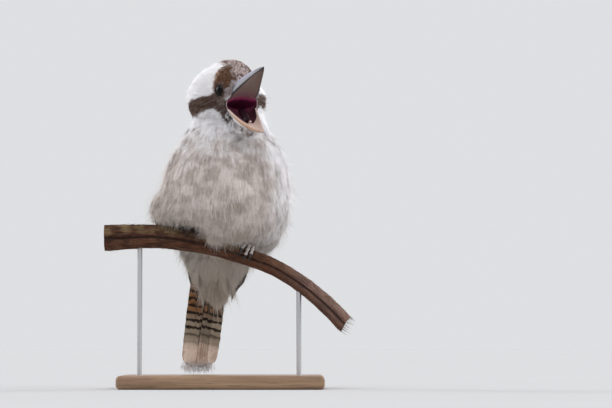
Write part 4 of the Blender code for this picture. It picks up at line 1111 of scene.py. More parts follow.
def cheek(points):
    """The puffed cheeks behind the eyes, fuller on the side that the photograph doesn't show."""
    head = local(SKULL, points)
    mirrored = np.column_stack([np.abs(head[:, 0]), head[:, 1:]])
    far = np.linalg.norm(mirrored - np.array(CHEEK), axis=1)
    return np.exp(-((far / CHEEK_REACH) ** 2)) * np.where(head[:, 0] > 0, 1.0, 0.25)


def lie_at(points, normals):
    """Which way the feathers lie: back from the bill on the head, down the body towards the tail."""
    head = local(SKULL, points)
    bill = placed(SKULL, [[0, -0.050, 0.010]])[0]
    from_bill = unit(points - bill)
    rear = ease(head[:, 1], 0.020, 0.060)
    on_head = from_bill * (1 - 0.55 * rear)[:, None] + np.array([0, 0, -1]) * (0.9 * rear)[:, None]
    tail = placed(BIRD, [[-0.004, 0.085, 0.060]])[0]
    under = ease(-points[:, 2], -0.182, -0.165)
    on_body = unit(tail - points) * (0.35 + 0.65 * under)[:, None] + np.array([0, 0, -1.0])
    share = ease(head[:, 1] * 0.35 - head[:, 2], 0.004, 0.030)[:, None]
    field = unit(on_head) * (1 - share) + unit(on_body) * share
    field -= normals * np.sum(field * normals, axis=1, keepdims=True)
    return unit(field)


def feather_size(points):
    """Length and spacing of the feathers at points of the skin."""
    head = local(SKULL, points)
    bill = np.linalg.norm(head - np.array(BILL_ROOT), axis=1)
    close = np.minimum(bill - 0.018, (from_eyes(head) - 0.0065) * 1.2)
    face = 0.0030 + 0.0062 * ease(close, 0.0, 0.032)
    body = 0.0200 - 0.0100 * ease(-points[:, 2], -0.168, -0.128)
    share = ease(head[:, 1] * 0.35 - head[:, 2], 0.000, 0.046)
    across, height = (points[:, axis] - middle for axis, middle in zip((0, 2), BARE_FOOT))
    over_foot = np.exp(-((across / BARE_REACH) ** 2) - (height / BARE_REACH) ** 2)
    length = (face + (body - face) * share) * (1 - 0.60 * over_foot)
    close_set = 0.014 * np.exp(-(((length - 0.015) / 0.004) ** 2))
    return length, (0.0005 + length * (0.090 - close_set)) * 0.84


def scatter(skin, spacing_of, keep, seed):
    """Roots on the skin, no two closer than the spacing there: place, normal and place on the map."""
    draw = np.random.default_rng(seed)
    mesh = skin.data
    mesh.calc_loop_triangles()
    count = len(mesh.loop_triangles)
    corners, loops = np.empty(count * 3, np.int32), np.empty(count * 3, np.int32)
    mesh.loop_triangles.foreach_get("vertices", corners)
    mesh.loop_triangles.foreach_get("loops", loops)
    corners, loops = corners.reshape(-1, 3), loops.reshape(-1, 3)
    co = points_of(skin)
    normals = np.empty(len(co) * 3, np.float32)
    mesh.vertices.foreach_get("normal", normals)
    normals = normals.reshape(-1, 3).astype(float)
    uv = np.empty(len(mesh.loops) * 2, np.float32)
    mesh.uv_layers["OFBake"].data.foreach_get("uv", uv)
    uv = uv.reshape(-1, 2).astype(float)
    tri = co[corners]
    area = np.linalg.norm(np.cross(tri[:, 1] - tri[:, 0], tri[:, 2] - tri[:, 0]), axis=1) / 2
    middle = tri.mean(axis=1)
    wanted = area / spacing_of(middle) ** 2 * keep(middle)
    total = int(wanted.sum() * 5)
    chosen = draw.choice(count, total, p=wanted / wanted.sum())
    weights = draw.dirichlet((1, 1, 1), total)[:, :, None]
    points = (tri[chosen] * weights).sum(axis=1)
    normal = unit((normals[corners[chosen]] * weights).sum(axis=1))
    places = (uv[loops[chosen]] * weights).sum(axis=1)
    spacing = spacing_of(points)
    tree = KDTree(total)
    for k, point in enumerate(points):
        tree.insert(point, k)
    tree.balance()
    free, roots = np.ones(total, bool), []
    for k in range(total):
        if free[k]:
            roots.append(k)
            for _, n, _ in tree.find_range(points[k], spacing[k]):
                free[n] = False
    return points[roots], normal[roots], places[roots]


def over_skin(tree, points):
    """The nearest places of the skin and the normals there."""
    found = [tree.find_nearest(point)[:2] for point in points]
    return np.array([f[0] for f in found]), np.array([f[1] for f in found])


BARB_POINTS = 5
KNOTS = (0, 1 / 3, 2 / 3, 1)  # where a feather's shaft is fixed, as shares of its length


def cubic(shares):
    """The weights of a shaft's four knots at shares of its length."""
    weights = []
    for k, knot in enumerate(KNOTS):
        others = [other for m, other in enumerate(KNOTS) if m != k]
        weights.append(np.prod([(shares - other) / (knot - other) for other in others], axis=0))
    return np.stack(weights)


def clump_tilt(roots, normals, lie):
    """How steeply the clumps of plumage rise along and across each feather."""
    across = PUFF_STEP * np.cross(normals, lie)
    slopes = []
    for step, way in ((PUFF_STEP * lie, lie), (across, across / PUFF_STEP)):
        slopes.append(((puffs(roots + step) - puffs(roots - step)) / (2 * PUFF_STEP))[:, None] * way)
    return sum(slopes)


def tufts(name, tree, roots, normals, places, length, half, rise, barbs, finish, seed, lie_of=lie_at,
          stray=0.16, root_lift=0.55, drape=0.0, roll=0.20, barb=0.10, camber=0.16, loose=0.0, marked=1.0):
    """Feathers as a shaft and loose barbs on each side, laid along the skin.

    length, half and rise are each feather's length, half width and the height of its tip over the skin.
    barb is a barb's width for that half width, drape is 1 for feathers that leave the skin, and loose is
    the share of stray barbs.
    """
    draw = np.random.default_rng(seed)
    count = len(roots)
    lie = lie_of(roots, normals)
    swing = draw.normal(0, stray, count)[:, None]
    lie = unit(lie * np.cos(swing) + np.cross(normals, lie) * np.sin(swing))
    length = length * draw.uniform(0.82, 1.18, count)
    rise = rise * draw.uniform(0.86, 1.10, count)
    knots, hold = [roots - normals * 0.0006], [normals]
    for share, lift in zip(KNOTS[1:], (root_lift, 0.92, 1.0)):
        flat = roots + lie * (length * share)[:, None]
        on, up = over_skin(tree, flat)
        knots.append(on + up * (rise * lift)[:, None] + (flat - on) * drape)
        hold.append(up)
    knots, hold = np.stack(knots, axis=1), np.stack(hold, axis=1)

    shares = np.concatenate([np.linspace(0.02, 0.90, barbs)] * 2 + [[0.80]])
    hands = np.concatenate([np.ones(barbs), -np.ones(barbs), [0.0]])
    slant = np.concatenate([np.radians(np.linspace(30, 12, barbs))] * 2 + [[0.0]])
    profile = np.sin(math.pi * np.linspace(0.22, 0.90, barbs)) ** 0.7
    reach = np.concatenate([profile] * 2 + [[0.9]])
    here = np.einsum("kb,nkd->nbd", cubic(shares), knots)
    beyond = np.einsum("kb,nkd->nbd", cubic(np.minimum(shares + 0.05, 1.05)), knots)
    before = np.einsum("kb,nkd->nbd", cubic(shares - 0.05), knots)
    ahead = unit(beyond - before)
    up = unit(np.einsum("kb,nkd->nbd", cubic(shares), hold))
    side = unit(np.cross(ahead, up))
    turned = draw.normal(0, roll, (count, 1, 1))
    side, up = side * np.cos(turned) + up * np.sin(turned), up * np.cos(turned) - side * np.sin(turned)
    slant = slant + draw.normal(0, 1, (count, len(shares))) * 0.09
    reach = half[:, None] * reach * (1 + 0.20 * draw.normal(0, 1, (count, len(shares))))
    long = reach / np.where(hands == 0, 0.60, np.maximum(np.sin(slant), 0.22))
    long = np.minimum(long, length[:, None] * 0.72)
    width = half[:, None, None] * barb
    stands_out = (draw.random(long.shape) < loose) * draw.uniform(0.3, 0.8, long.shape)
    long = long * (1 + stands_out * 0.9)

    rows = []
    for part, wide in ((0.0, 1.0), (0.5, 0.72), (1.0, 0.0)):
        bend = slant * (1 - 0.30 * part)
        step = np.cos(bend)[..., None] * ahead + (np.sin(bend) * hands)[..., None] * side
        bow = (stands_out * 0.55 - camber) * long * part**2
        spot = here + step * (long * part)[..., None] + up * bow[..., None]
        across = unit(np.cross(up, step)) * width * wide * 0.5
        rows += [spot - across, spot + across] if wide else [spot]
    points = np.stack(rows, axis=2)
    start = np.arange(count * len(shares))[:, None] * BARB_POINTS
    faces = [start + np.array([[0, 2, 3, 1]]), start + np.array([[2, 4, 3]])]
    obj = mesh_piece(name, points.reshape(-1, 3), faces, finish)

    tilt = clump_tilt(roots, normals, lie) * (0.13 * length)[:, None]
    facing = up * 0.9 + draw.normal(0, 0.16, up.shape) + hold[:, :1] * 0.4 - tilt[:, None, :] * 0.8
    facing = np.repeat(unit(facing).reshape(-1, 3), BARB_POINTS, axis=0)
    obj.data.normals_split_custom_set_from_vertices(facing)

    outward = np.array([0, 0, 0.5, 0.5, 1.0])
    along = shares[None, :, None] + (long * np.cos(slant) / length[:, None])[..., None] * outward
    along = np.clip(along, 0, 1.1)
    tone = np.broadcast_to(draw.uniform(0, 1, count)[:, None, None], along.shape)
    each = len(shares) * BARB_POINTS
    marks = markings(roots + lie * (0.62 * length)[:, None])
    marks = {name: np.repeat(values * marked, each) for name, values in marks.items()}
    mark(obj, marks, along.reshape(-1), tone.reshape(-1), np.repeat(puffs(roots) * 0.5 + 0.5, each))
    across = np.broadcast_to(hands[None, :, None] * outward, along.shape)
    patch = np.stack([across * 0.0014, (along - 0.5) * 0.0028], axis=-1)
    put_uv(obj, "OFBake", (places[:, None, None, :] + patch).reshape(-1, 2))
    return obj


MOST_TRIANGLES = 190_000
# Coat by length of feather: piece, shortest, longest, barbs a side, half width for its length, its ways
COATS = (
    ("coat_face", 0.0, 0.0062, 4, 0.28, {"barb": 0.15, "stray": 0.10, "camber": 0.10}),
    ("coat_crown", 0.0062, 0.0105, 6, 0.27, {"barb": 0.12, "stray": 0.14, "loose": 0.02}),
    ("coat_neck", 0.0105, 0.0185, 8, 0.25, {"barb": 0.09, "stray": 0.16, "loose": 0.05}),
    ("coat_body", 0.0185, 1.0, 10, 0.25, {"barb": 0.075, "stray": 0.17, "roll": 0.14, "loose": 0.10}),
)


def make_coat(skin, whole, finish):
    """The feathers of head, neck, breast, flanks, back, belly and vent, in pieces of a bounded size."""

    def feathered(points):
        off = np.array([whole.find_nearest(point)[3] for point in points])
        eyes = from_eyes(local(SKULL, points))
        return ((off < 0.0002) & (eyes > EYE_RADIUS + 0.0002) & (~under_wing(points))).astype(float)

    roots, normals, places = scatter(skin, lambda points: feather_size(points)[1], feathered, 5)
    length, _ = feather_size(roots)
    depth = coat_depth(roots)
    pieces = []
    for k, (name, low, high, barbs, wide, ways) in enumerate(COATS):
        picked = np.flatnonzero((length >= low) & (length < high))
        most = MOST_TRIANGLES // (3 * (2 * barbs + 1))
        order = picked[np.argsort(roots[picked, 0])]
        for n, part in enumerate(np.array_split(order, max(1, math.ceil(len(order) / most)))):
            rise = depth[part] * (puffs(roots[part]) * 0.18 + 1.0 + cheek(roots[part]) * 1.1)
            pieces.append(tufts(
                f"{name}_{n + 1}", whole, roots[part], normals[part], places[part], length[part],
                length[part] * wide, rise, barbs, finish, 100 + 10 * k + n, **ways,
            ))
    return pieces


# Long soft plumes over the vent: across and height of the root, the same of the tip, half width
VENT_PLUMES = (
    (-0.0300, 0.1500, -0.0262, 0.1160, 0.0052),
    (-0.0222, 0.1400, -0.0200, 0.0950, 0.0048),
    (-0.0150, 0.1440, -0.0128, 0.1020, 0.0052),
    (-0.0093, 0.1390, -0.0050, 0.0892, 0.0062),
    (-0.0030, 0.1500, 0.0014, 0.0945, 0.0058),
    (0.0060, 0.1440, 0.0066, 0.1040, 0.0046),
)
PLUME_BUNDLE = 12
PLUME_SPREAD = (0.0018, 0.0030, 0.0010, 0.0014)
FRAY_COUNT = 16
FRAY_LONG = 0.0070
FRAY_HALF = 0.0024


def make_plumes(whole, finish):
    """The vent's plumes, each a bundle of loose feathers that ends past the skin."""
    draw = np.random.default_rng(71)
    rows = np.repeat(np.array(VENT_PLUMES), PLUME_BUNDLE, axis=0)
    rows[:, :4] += draw.normal(0, 1, (len(rows), 4)) * np.array(PLUME_SPREAD)
    start = np.column_stack([rows[:, 0], np.full(len(rows), -0.5), rows[:, 1]])
    hits = [whole.ray_cast(point, (0, 1, 0))[:2] for point in start]
    roots, normals = (np.array(found) for found in zip(*hits))
    drop = rows[:, 1] - rows[:, 3]
    way = np.column_stack([rows[:, 2] - rows[:, 0], drop * 0.46, -drop])
    length = np.linalg.norm(way, axis=1) * 0.68
    places = np.column_stack([draw.uniform(0.1, 0.9, len(rows)), draw.uniform(0.1, 0.9, len(rows))])
    return tufts(
        "coat_vent_plumes", whole, roots, normals, places, length, rows[:, 4], np.full(len(rows), 0.0060),
        22, finish, 72, lambda *_: unit(way), stray=0.03, roll=0.25, barb=0.045, drape=1.0, loose=0.10,
        root_lift=0.4, camber=0.05,
    )


def make_tail_fray(tail, finish):
    """White barbs past the tail's tips."""
    draw = np.random.default_rng(81)
    roots, ways = [], []
    for across, _, right, left, short in TAIL_PAIRS:
        for side, height in ((-1, right), (1, left)):
            for _ in range(FRAY_COUNT):
                out = side * across + draw.uniform(-0.0050, 0.0050)
                down = TAIL_LONG - short - draw.uniform(0.0015, 0.0060) - abs(out - side * across) * 0.25
                roots.append(tail_at(down, out, height + 0.0002))
                ways.append(tail_at(down + 0.01, out + draw.normal(0, 0.0012), height + 0.0002))
    roots, ways = np.array(roots), np.array(ways)
    count = len(roots)
    tree = BVHTree.FromObject(tail, bpy.context.evaluated_depsgraph_get())
    over = unit(tail_at(0.05, 0.0, 0.01) - tail_at(0.05, 0.0, 0.0))
    places = draw.uniform(0.1, 0.9, (count, 2))
    return tufts(
        "tail_fray", tree, roots, np.repeat([over], count, axis=0), places, np.full(count, FRAY_LONG),
        np.full(count, FRAY_HALF), np.full(count, 0.0003), 5, finish, 82, lambda *_: unit(ways - roots),
        barb=0.10, drape=1.0, marked=0.0, camber=0.0, loose=0.2,
    )


# Wings and tail


def wing_tuck(side, down):
    """How far the wing's lower edge is turned to the back, in degrees."""
    first, last = WING_TUCK[side]
    return first + (last - first) * ease(down, 0.60, 0.95)


def wing_at(down, across, lift, side):
    """Points of the folded wing's sheet in the bird's frame, lift metres off the trunk."""
    down, across, lift = np.broadcast_arrays(*(np.asarray(v, float) for v in (down, across, lift)))
    lift = lift + WING_TIP_LIFT * ease(down, 0.70, 0.90)
    lower, upper = np.moveaxis(read(WING_EDGES, down), -1, 0)
    angle = lower + wing_tuck(side, down) * (1 - across) + (upper - lower) * across
    points = trunk_at(WING_TOP - WING_DROP * np.minimum(down, 1.0), side * angle, lift)
    points[..., 2] -= np.maximum(0.0, down - 1.0) * WING_DROP
    return points


def under_wing(points):
    """Where the wings hide the body."""
    bird = local(BIRD, points)
    down = (WING_TOP - bird[:, 2]) / WING_DROP
    middle = read(TRUNK, bird[:, 2])[:, 0]
    angle = np.degrees(np.arctan2(bird[:, 0], middle - bird[:, 1]))
    lower, upper = np.moveaxis(read(WING_EDGES, np.clip(down, 0, 1)), -1, 0)
    tuck = np.where(angle > 0, wing_tuck(1, down), wing_tuck(-1, down))
    across = (np.abs(angle) - lower - tuck) / np.maximum(upper - lower - tuck, 1)
    return (down > 0.10) & (down < 0.80) & (across > 0.16) & (across < 0.84)


VANE_ACROSS = np.array([-1.0, -0.70, -0.40, -0.12, 0.0, 0.12, 0.40, 0.70, 1.0])


def vanes(name, feathers, finish, rows, thick):
    """Flight feathers and coverts as thin closed blades with a raised shaft.

    Each feather has a place(along, across, lift), half width, profile of width, lean of its shaft and
    camber, and level(along, across) for its height on the whole wing or tail.
    """
    columns = len(VANE_ACROSS)
    t = np.linspace(0, 1, rows) ** 0.92
    all_points, all_faces, along, level, tone, bake, vane = [], [], [], [], [], [], []
    cells = math.ceil(math.sqrt(len(feathers)))
    start = 0
    for k, f in enumerate(feathers):
        draw = np.random.default_rng(f["seed"])
        width = f["profile"](t)[:, None] * f["half"]
        fray = 1 + 0.05 * waves(np.stack([t * 0.1, t * 0, t * 0 + k], axis=-1), 0.012, 60 + k)[:, None]
        skew = np.where(VANE_ACROSS > 0, 1 - f["lean"], 1 + f["lean"])
        across = VANE_ACROSS * width * skew * np.where(np.abs(VANE_ACROSS) > 0.9, fray, 1)
        sweep = -f.get("sweep", 0.03) * np.abs(VANE_ACROSS) ** 1.5
        shaft = 0.00022 * np.exp(-((VANE_ACROSS / 0.10) ** 2)) * (1 - t[:, None] * 0.8)
        lift = f["camber"] * (1 - VANE_ACROSS**2) + shaft
        place = np.clip(t[:, None] + sweep * np.sin(math.pi * t[:, None] * 0.5) ** 2, 0, 1)
        top, bottom = (f["place"](place, across, height) for height in (lift, lift - thick))
        all_points.append(np.stack([top, bottom]).reshape(-1, 3))
        end, firsts = (rows - 1) * columns, np.arange(1, rows) * columns
        edge = start + np.concatenate([
            np.arange(columns), firsts + columns - 1, end + np.arange(columns - 2, -1, -1), firsts[-2::-1],
        ])
        beyond, under = np.roll(edge, -1), rows * columns
        upper, lower = (grid_faces(rows, columns, start=first) for first in (start, start + under))
        rim = np.stack([beyond, edge, edge + under, beyond + under], axis=1)
        all_faces += [upper, lower[:, ::-1], rim]
        start += 2 * under
        both = np.broadcast_to(place, (2, rows, columns)).ravel()
        along.append(both)
        u = np.broadcast_to(VANE_ACROSS * 0.5 + 0.5, (2, rows, columns)).ravel()
        level.append(f["level"](both, u - 0.5))
        tone.append(np.full(both.shape, draw.uniform()))
        vane.append(np.stack([u, both], axis=-1))
        column, row = k % cells, k // cells
        face = np.repeat([0.0, 1.0], under)
        place_u = (column + (u * 0.42 + 0.04) + face * 0.48) / cells
        bake.append(np.stack([place_u, (row + both * 0.9 + 0.05) / cells], axis=-1))
    obj = mesh_piece(name, np.concatenate(all_points), all_faces, finish)
    face_out(obj)
    put(obj, "along", np.concatenate(along))
    put(obj, "level", np.concatenate(level))
    put(obj, "tone", np.concatenate(tone))
    put_uv(obj, "OFBake", np.concatenate(bake))
    put_uv(obj, "Vane", np.concatenate(vane))
    return obj


def blade(root=0.55, tip=0.30, full=0.45):
    """The share of the half width along a feather: narrow where it is rooted and rounded at its tip."""

    def profile(t):
        before = root + (1 - root) * np.sin(math.pi / 2 * np.minimum(t / full, 1))
        past = np.clip((t - full) / (1 - full), 0, 1)
        after = tip + (1 - tip) * np.sqrt(np.maximum(0.0, 1 - past**3))
        rounded = np.sqrt(np.clip((1 - t) / 0.035, 0, 1))
        return np.where(t < full, before, after) * (0.25 + 0.75 * rounded)

    return profile


# Tiers of a wing: count, across at the first and last root, across at the first and last tip, down at the
# roots, down at the first and last tip, half width in spaces, height at root and tip, overlap, finish
WING_TIERS = (
    (9, 0.16, 0.56, 0.14, 0.74, 0.43, 0.985, 0.830, 1.70, 0.0022, 0.0024, 0.9, "primary"),
    (10, 0.12, 0.90, 0.10, 0.92, 0.27, 0.650, 0.710, 1.70, 0.0052, 0.0058, 0.9, "primary"),
    (11, 0.10, 0.90, 0.06, 0.94, 0.16, 0.430, 0.440, 0.95, 0.0056, 0.0078, 0.5, "covert"),
    (10, 0.12, 0.88, 0.08, 0.92, 0.10, 0.300, 0.310, 0.90, 0.0060, 0.0090, 0.5, "covert"),
    (9, 0.16, 0.86, 0.12, 0.88, 0.06, 0.215, 0.225, 0.90, 0.0060, 0.0098, 0.5, "covert"),
    (8, 0.20, 0.82, 0.16, 0.86, 0.02, 0.145, 0.150, 0.90, 0.0056, 0.0104, 0.5, "covert"),
    (7, 0.26, 0.78, 0.22, 0.82, -0.02, 0.085, 0.090, 0.90, 0.0050, 0.0104, 0.5, "covert"),
)
SHINGLE = 0.0009


def wing_feather(side, tier, k):
    """One feather of a tier, for vanes."""
    count, r0, r1, t0, t1, root, tip0, tip1, half, low, high, overlap, kind = WING_TIERS[tier]
    share = k / (count - 1)
    root_space, tip_space = (r1 - r0) / (count - 1), (t1 - t0) / (count - 1)
    start = (root, r0 + (r1 - r0) * share)
    end = (tip0 + (tip1 - tip0) * share, t0 + (t1 - t0) * share)

    def place(along, across, lift):
        down = start[0] + (end[0] - start[0]) * along
        middle = start[1] + (end[1] - start[1]) * along
        height = low + (high - low) * ease(along, 0.0, 0.35)
        width = across * (root_space + (tip_space - root_space) * along)
        height = height + lift - overlap * SHINGLE * across
        return placed(BIRD, wing_at(down, middle + width, height, side))

    flies = kind == "primary"
    return {
        "place": place, "half": half, "profile": blade(0.55, 0.25, 0.55 if flies else 0.40),
        "seed": 300 + 20 * tier + k, "lean": 0.25 * flies, "camber": 0.0003,
        "level": lambda along, across: along * 0.2 + tier * 0.1,
    }


def make_arm(side, name, finish):
    """The folded arm under the coverts, from the shoulder to the flight feathers' roots."""
    rows, half_round = 20, 12
    bulge = np.sin(np.linspace(0.25, math.pi - 0.25, half_round)) ** 0.4
    rings = []
    for down in np.linspace(0.015, 0.52, rows):
        inset = 0.20 * (1 - ease(down, 0.0, 0.10)) + 0.08
        shares = np.linspace(inset, 0.93 - inset * 0.5 - 0.25 * ease(down, 0.34, 0.5), half_round)
        over = wing_at(down, shares, 0.0045 * (0.4 + 0.6 * ease(down, 0, 0.07)) * bulge, side)
        below = wing_at(down, shares[::-1], -0.0060, side)
        rings.append(np.vstack([over, below]))
    arm = tube_mesh("wing_arm_" + name, placed(BIRD, np.array(rings)), finish)
    points = points_of(arm)
    marks = {key: np.full(len(points), float(key == "mantle")) for key in markings(points)}
    mark(arm, marks, *(np.full(len(points), value) for value in (0.4, 0.5, 0.5)))
    shares = np.linspace(0.02, 0.98, rows), np.linspace(0.02, 0.98, 2 * half_round)
    down, round_it = np.meshgrid(*shares, indexing="ij")
    put_uv(arm, "OFBake", [*zip(round_it.ravel(), down.ravel()), (0.5, 0.01), (0.5, 0.99)])
    return arm


def make_wing(side, name, finishes):
    """The wing's feathers on the sheet of its solid, in seven tiers, and the arm under them."""
    kinds = {"primary": [], "covert": []}
    for tier, row in enumerate(WING_TIERS):
        kinds[row[-1]] += [wing_feather(side, tier, k) for k in range(row[0])]
    return (
        vanes("wing_flight_" + name, kinds["primary"], finishes["primary"], 16, 0.00035),
        vanes("wing_coverts_" + name, kinds["covert"], finishes["covert"], 11, 0.00030),
        make_arm(side, name, finishes["plumage"]),
    )


def tail_at(down, across, lift):
    """Points of the tail in the row frame: down its length, across, and up off its own sheet."""
    down, across, lift = np.broadcast_arrays(*(np.asarray(v, float) for v in (down, across, lift)))
    lean = np.array([0, math.sin(TAIL_LEAN), -math.cos(TAIL_LEAN)])
    swing, side = math.sin(TAIL_SWING), np.array([1.0, 0, 0])
    rise = np.cross(side, lean)
    along, over = lean - swing * side, side + swing * lean
    points = np.array(TAIL_ROOT) + down[..., None] * along + across[..., None] * over
    return placed(BIRD, points + (lift - TAIL_ARCH * across**2)[..., None] * rise)


def tail_feather(side, pair):
    """One feather of the tail, for vanes."""
    across, half, right, left, short = TAIL_PAIRS[pair]
    height = left if side > 0 else right
    long = TAIL_LONG - short
    wider = TAIL_WIDER * (side < 0)
    start, end = side * (across * 0.8 + wider), side * (across - wider * 0.3)
    offset = across * side + TAIL_PAIRS[-1][0] * (side < 0)

    def place(along, wide, lift):
        down = 0.004 + (long - 0.004) * along
        return tail_at(down, start + (end - start) * along + wide, height + lift)

    return {
        "place": place, "half": half, "profile": blade(0.72, 0.38, 0.75),
        "seed": 500 + 2 * pair + (side > 0),
        "lean": -0.20 * side * (pair > 1), "camber": 0.0006, "sweep": 0.02,
        "level": lambda along, u: along * long / TAIL_LONG - BAR_SLOPE * (offset + 2 * half * u),
    }


def make_tail(finish):
    """Twelve tail feathers, the middle pair uppermost."""
    feathers = [tail_feather(side, pair) for pair in range(len(TAIL_PAIRS)) for side in (-1, 1)]
    return vanes("tail_flight", feathers, finish, 30, 0.00040)


# Face


def make_bills(finishes):
    """Both bills' horn, with numbers for its inner side, for how far ahead and how near the edge it is."""
    made = []
    for bill in BILLS:
        name = bill[0]
        rings, end = bill_rings(bill, start=HORN_STARTS[name])
        obj = tube_mesh(name + "_horn", placed(SKULL, rings), finishes[name], (None, placed(SKULL, end)))
        rows = len(rings)
        ahead = np.repeat(np.linspace(0, 1, rows), RIDGE_POINTS + INNER_POINTS)
        inner = np.r_[np.zeros(RIDGE_POINTS), np.ones(INNER_POINTS)]
        inner[[0, RIDGE_POINTS - 1]] = 0.5
        edge = np.abs(np.r_[np.linspace(1, -1, RIDGE_POINTS), np.linspace(0.95, -0.95, INNER_POINTS)])
        around = np.r_[np.linspace(0, 1, RIDGE_POINTS), np.linspace(1, 2, INNER_POINTS)]
        put(obj, "inner", np.r_[np.tile(inner, rows), 0, 0])
        put(obj, "ahead", np.r_[ahead, 0, 1])
        put(obj, "edge", np.r_[np.tile(edge, rows), 0, 0])
        uv = np.stack([np.tile(around * 6, rows), ahead], axis=-1)
        put_uv(obj, "Horn", np.vstack([uv, [[0, 0], [0, 1]]]))
        made.append(obj)
    return made


def make_mouth(finish):
    """The lining as a thin closed skin over palate, trough and the corners' webs, back into the throat."""
    inside, out = mouth_rings(folds=0.00030)
    outside, _ = mouth_rings(lift=LINING_THICK)
    lip = inside[0] + out[0] * 0.0003 + unit(inside[0] - inside[1]) * 0.0004
    rings = np.concatenate([inside[::-1], lip[None], outside])
    throat = inside[-1].mean(axis=0) + np.array([0, 0.002, 0])
    ends = placed(SKULL, [throat, throat + np.array([0, LINING_THICK, 0])])
    obj = tube_mesh("mouth_lining", placed(SKULL, rings), finish, ends)
    s = np.linspace(0, 1, len(inside))
    put(obj, "deep", np.r_[np.repeat(np.concatenate([s[::-1], [0], s]), inside.shape[1]), 1, 1])
    blend = np.linspace(1, 0, WEB_POINTS + 2)[1:-1]
    over = np.concatenate([np.ones(RIM_POINTS), blend, np.zeros(RIM_POINTS), blend[::-1]])
    put(obj, "over", np.r_[np.tile(over, len(rings)), 0.5, 0.5])
    return obj


def make_tongue(finish):
    """A flat tongue on the trough, narrowed and raised towards its tip, with a furrow along it."""
    rings, ends = ball_rings((0, -0.0215, -0.0024), (0.0050, 0.0165, 0.0018), count=24, sides=28)
    both = np.concatenate([rings.reshape(-1, 3), ends])
    ahead = -both[:, 1]
    both[:, 0] *= 1 - 0.60 * ease(ahead, 0.012, 0.036)
    both[:, 2] += 0.0018 * ease(ahead, 0.028, 0.038) - 0.0005 * np.exp(-((both[:, 0] / 0.0010) ** 2))
    both = placed(SKULL, hinged(both, LOWER_TIP, JAW_DROP, LOWER_SAG))
    obj = tube_mesh("tongue_flesh", both[:-2].reshape(rings.shape), finish, both[-2:])
    put(obj, "ahead", ahead / 0.0380)
    return obj


GAZE = (0.84, -0.53, 0.10)  # of the left eye, mirrored for the right
CORNEA = 0.035  # how far the eye bulges before the pupil, as a share of its radius
LID_ROUND = 64
LID_SIDES = 14
LID_FLAT = 0.88
LID_BEADS = 0.16


def make_ball(side, name, gaze, finish):
    """An eyeball with a slight bulge where it looks."""
    rings, ends = ball_rings((0, 0, 0), (1, 1, 1), gaze.to_track_quat("Z", "Y").to_euler(), 30, 40)
    points = np.concatenate([rings.reshape(-1, 3), ends])
    facing = points @ np.array(gaze)
    bulge = 1 + CORNEA * ease(facing, 0.72, 0.97)
    points = placed(SKULL, eye_place(side) + points * bulge[:, None] * EYE_RADIUS)
    ball = tube_mesh("eyeball_" + name, points[:-2].reshape(rings.shape), finish, points[-2:])
    put(ball, "gaze", facing)
    return ball


def make_lid(side, name, gaze, finish):
    """The beaded bare rim round an eye."""
    out = math.sqrt(EYE_RADIUS**2 - (LID_RING - 0.0005) ** 2)
    round_eye = np.linspace(0, 2 * math.pi, LID_ROUND, endpoint=False)[:, None]
    round_rim = np.linspace(0, 2 * math.pi, LID_SIDES, endpoint=False)
    thick = LID_THICK * (1 + LID_BEADS * np.abs(np.sin(round_eye * 14)))
    reach = LID_RING + np.cos(round_rim) * thick
    across, tall = reach * np.cos(round_eye), LID_FLAT * reach * np.sin(round_eye)
    lid = np.stack([across, tall, out + np.sin(round_rim) * thick], axis=-1)
    lid = placed(SKULL, eye_place(side) + lid @ np.array(gaze.to_track_quat("Z", "Y").to_matrix()).T)
    faces = np.vstack([grid_faces(LID_ROUND, LID_SIDES, wrap=True), last_row(LID_ROUND, LID_SIDES)])
    rim = mesh_piece("lid_" + name, lid.reshape(-1, 3), [faces], finish)
    face_out(rim)
    return rim


def last_row(rows, columns):
    """The quads that close a grid from its last row to its first."""
    low, high = np.arange(columns), np.roll(np.arange(columns), -1)
    top = (rows - 1) * columns
    return np.stack([top + low, top + high, high, low], axis=1)


# Perch and feet

GROOVE_TURNS = (math.radians(96), math.radians(264))  # round the stalk from its top
# Ridges along the stalk: how many round it, and their share of the relief
RIDGES = ((7, 0.30), (11, 0.30), (17, 0.34), (26, 0.30), (38, 0.24), (55, 0.2))


def stalk_section(turn):
    """A petiole's outline: round above, flatter below, with a groove along each side."""
    face, rear = (np.exp(-(((turn - groove) / 0.20) ** 2)) for groove in GROOVE_TURNS)
    return 1 - 0.13 * face - 0.10 * rear - 0.03 * np.cos(turn) ** 2


def stalk_lines(across):
    """Height, radius, tangent and upward normal of the stalk at places across."""
    across = np.atleast_1d(np.asarray(across, float))
    height, radius = np.moveaxis(read(STALK, across), -1, 0)
    step = 0.0005
    rise = read(STALK, across + step)[:, 0] - read(STALK, across - step)[:, 0]
    along = unit(np.stack([np.full(len(across), 2 * step), np.zeros(len(across)), rise], axis=-1))
    up = np.stack([-along[:, 2], np.zeros(len(across)), along[:, 0]], axis=-1)
    return height, radius, along, up


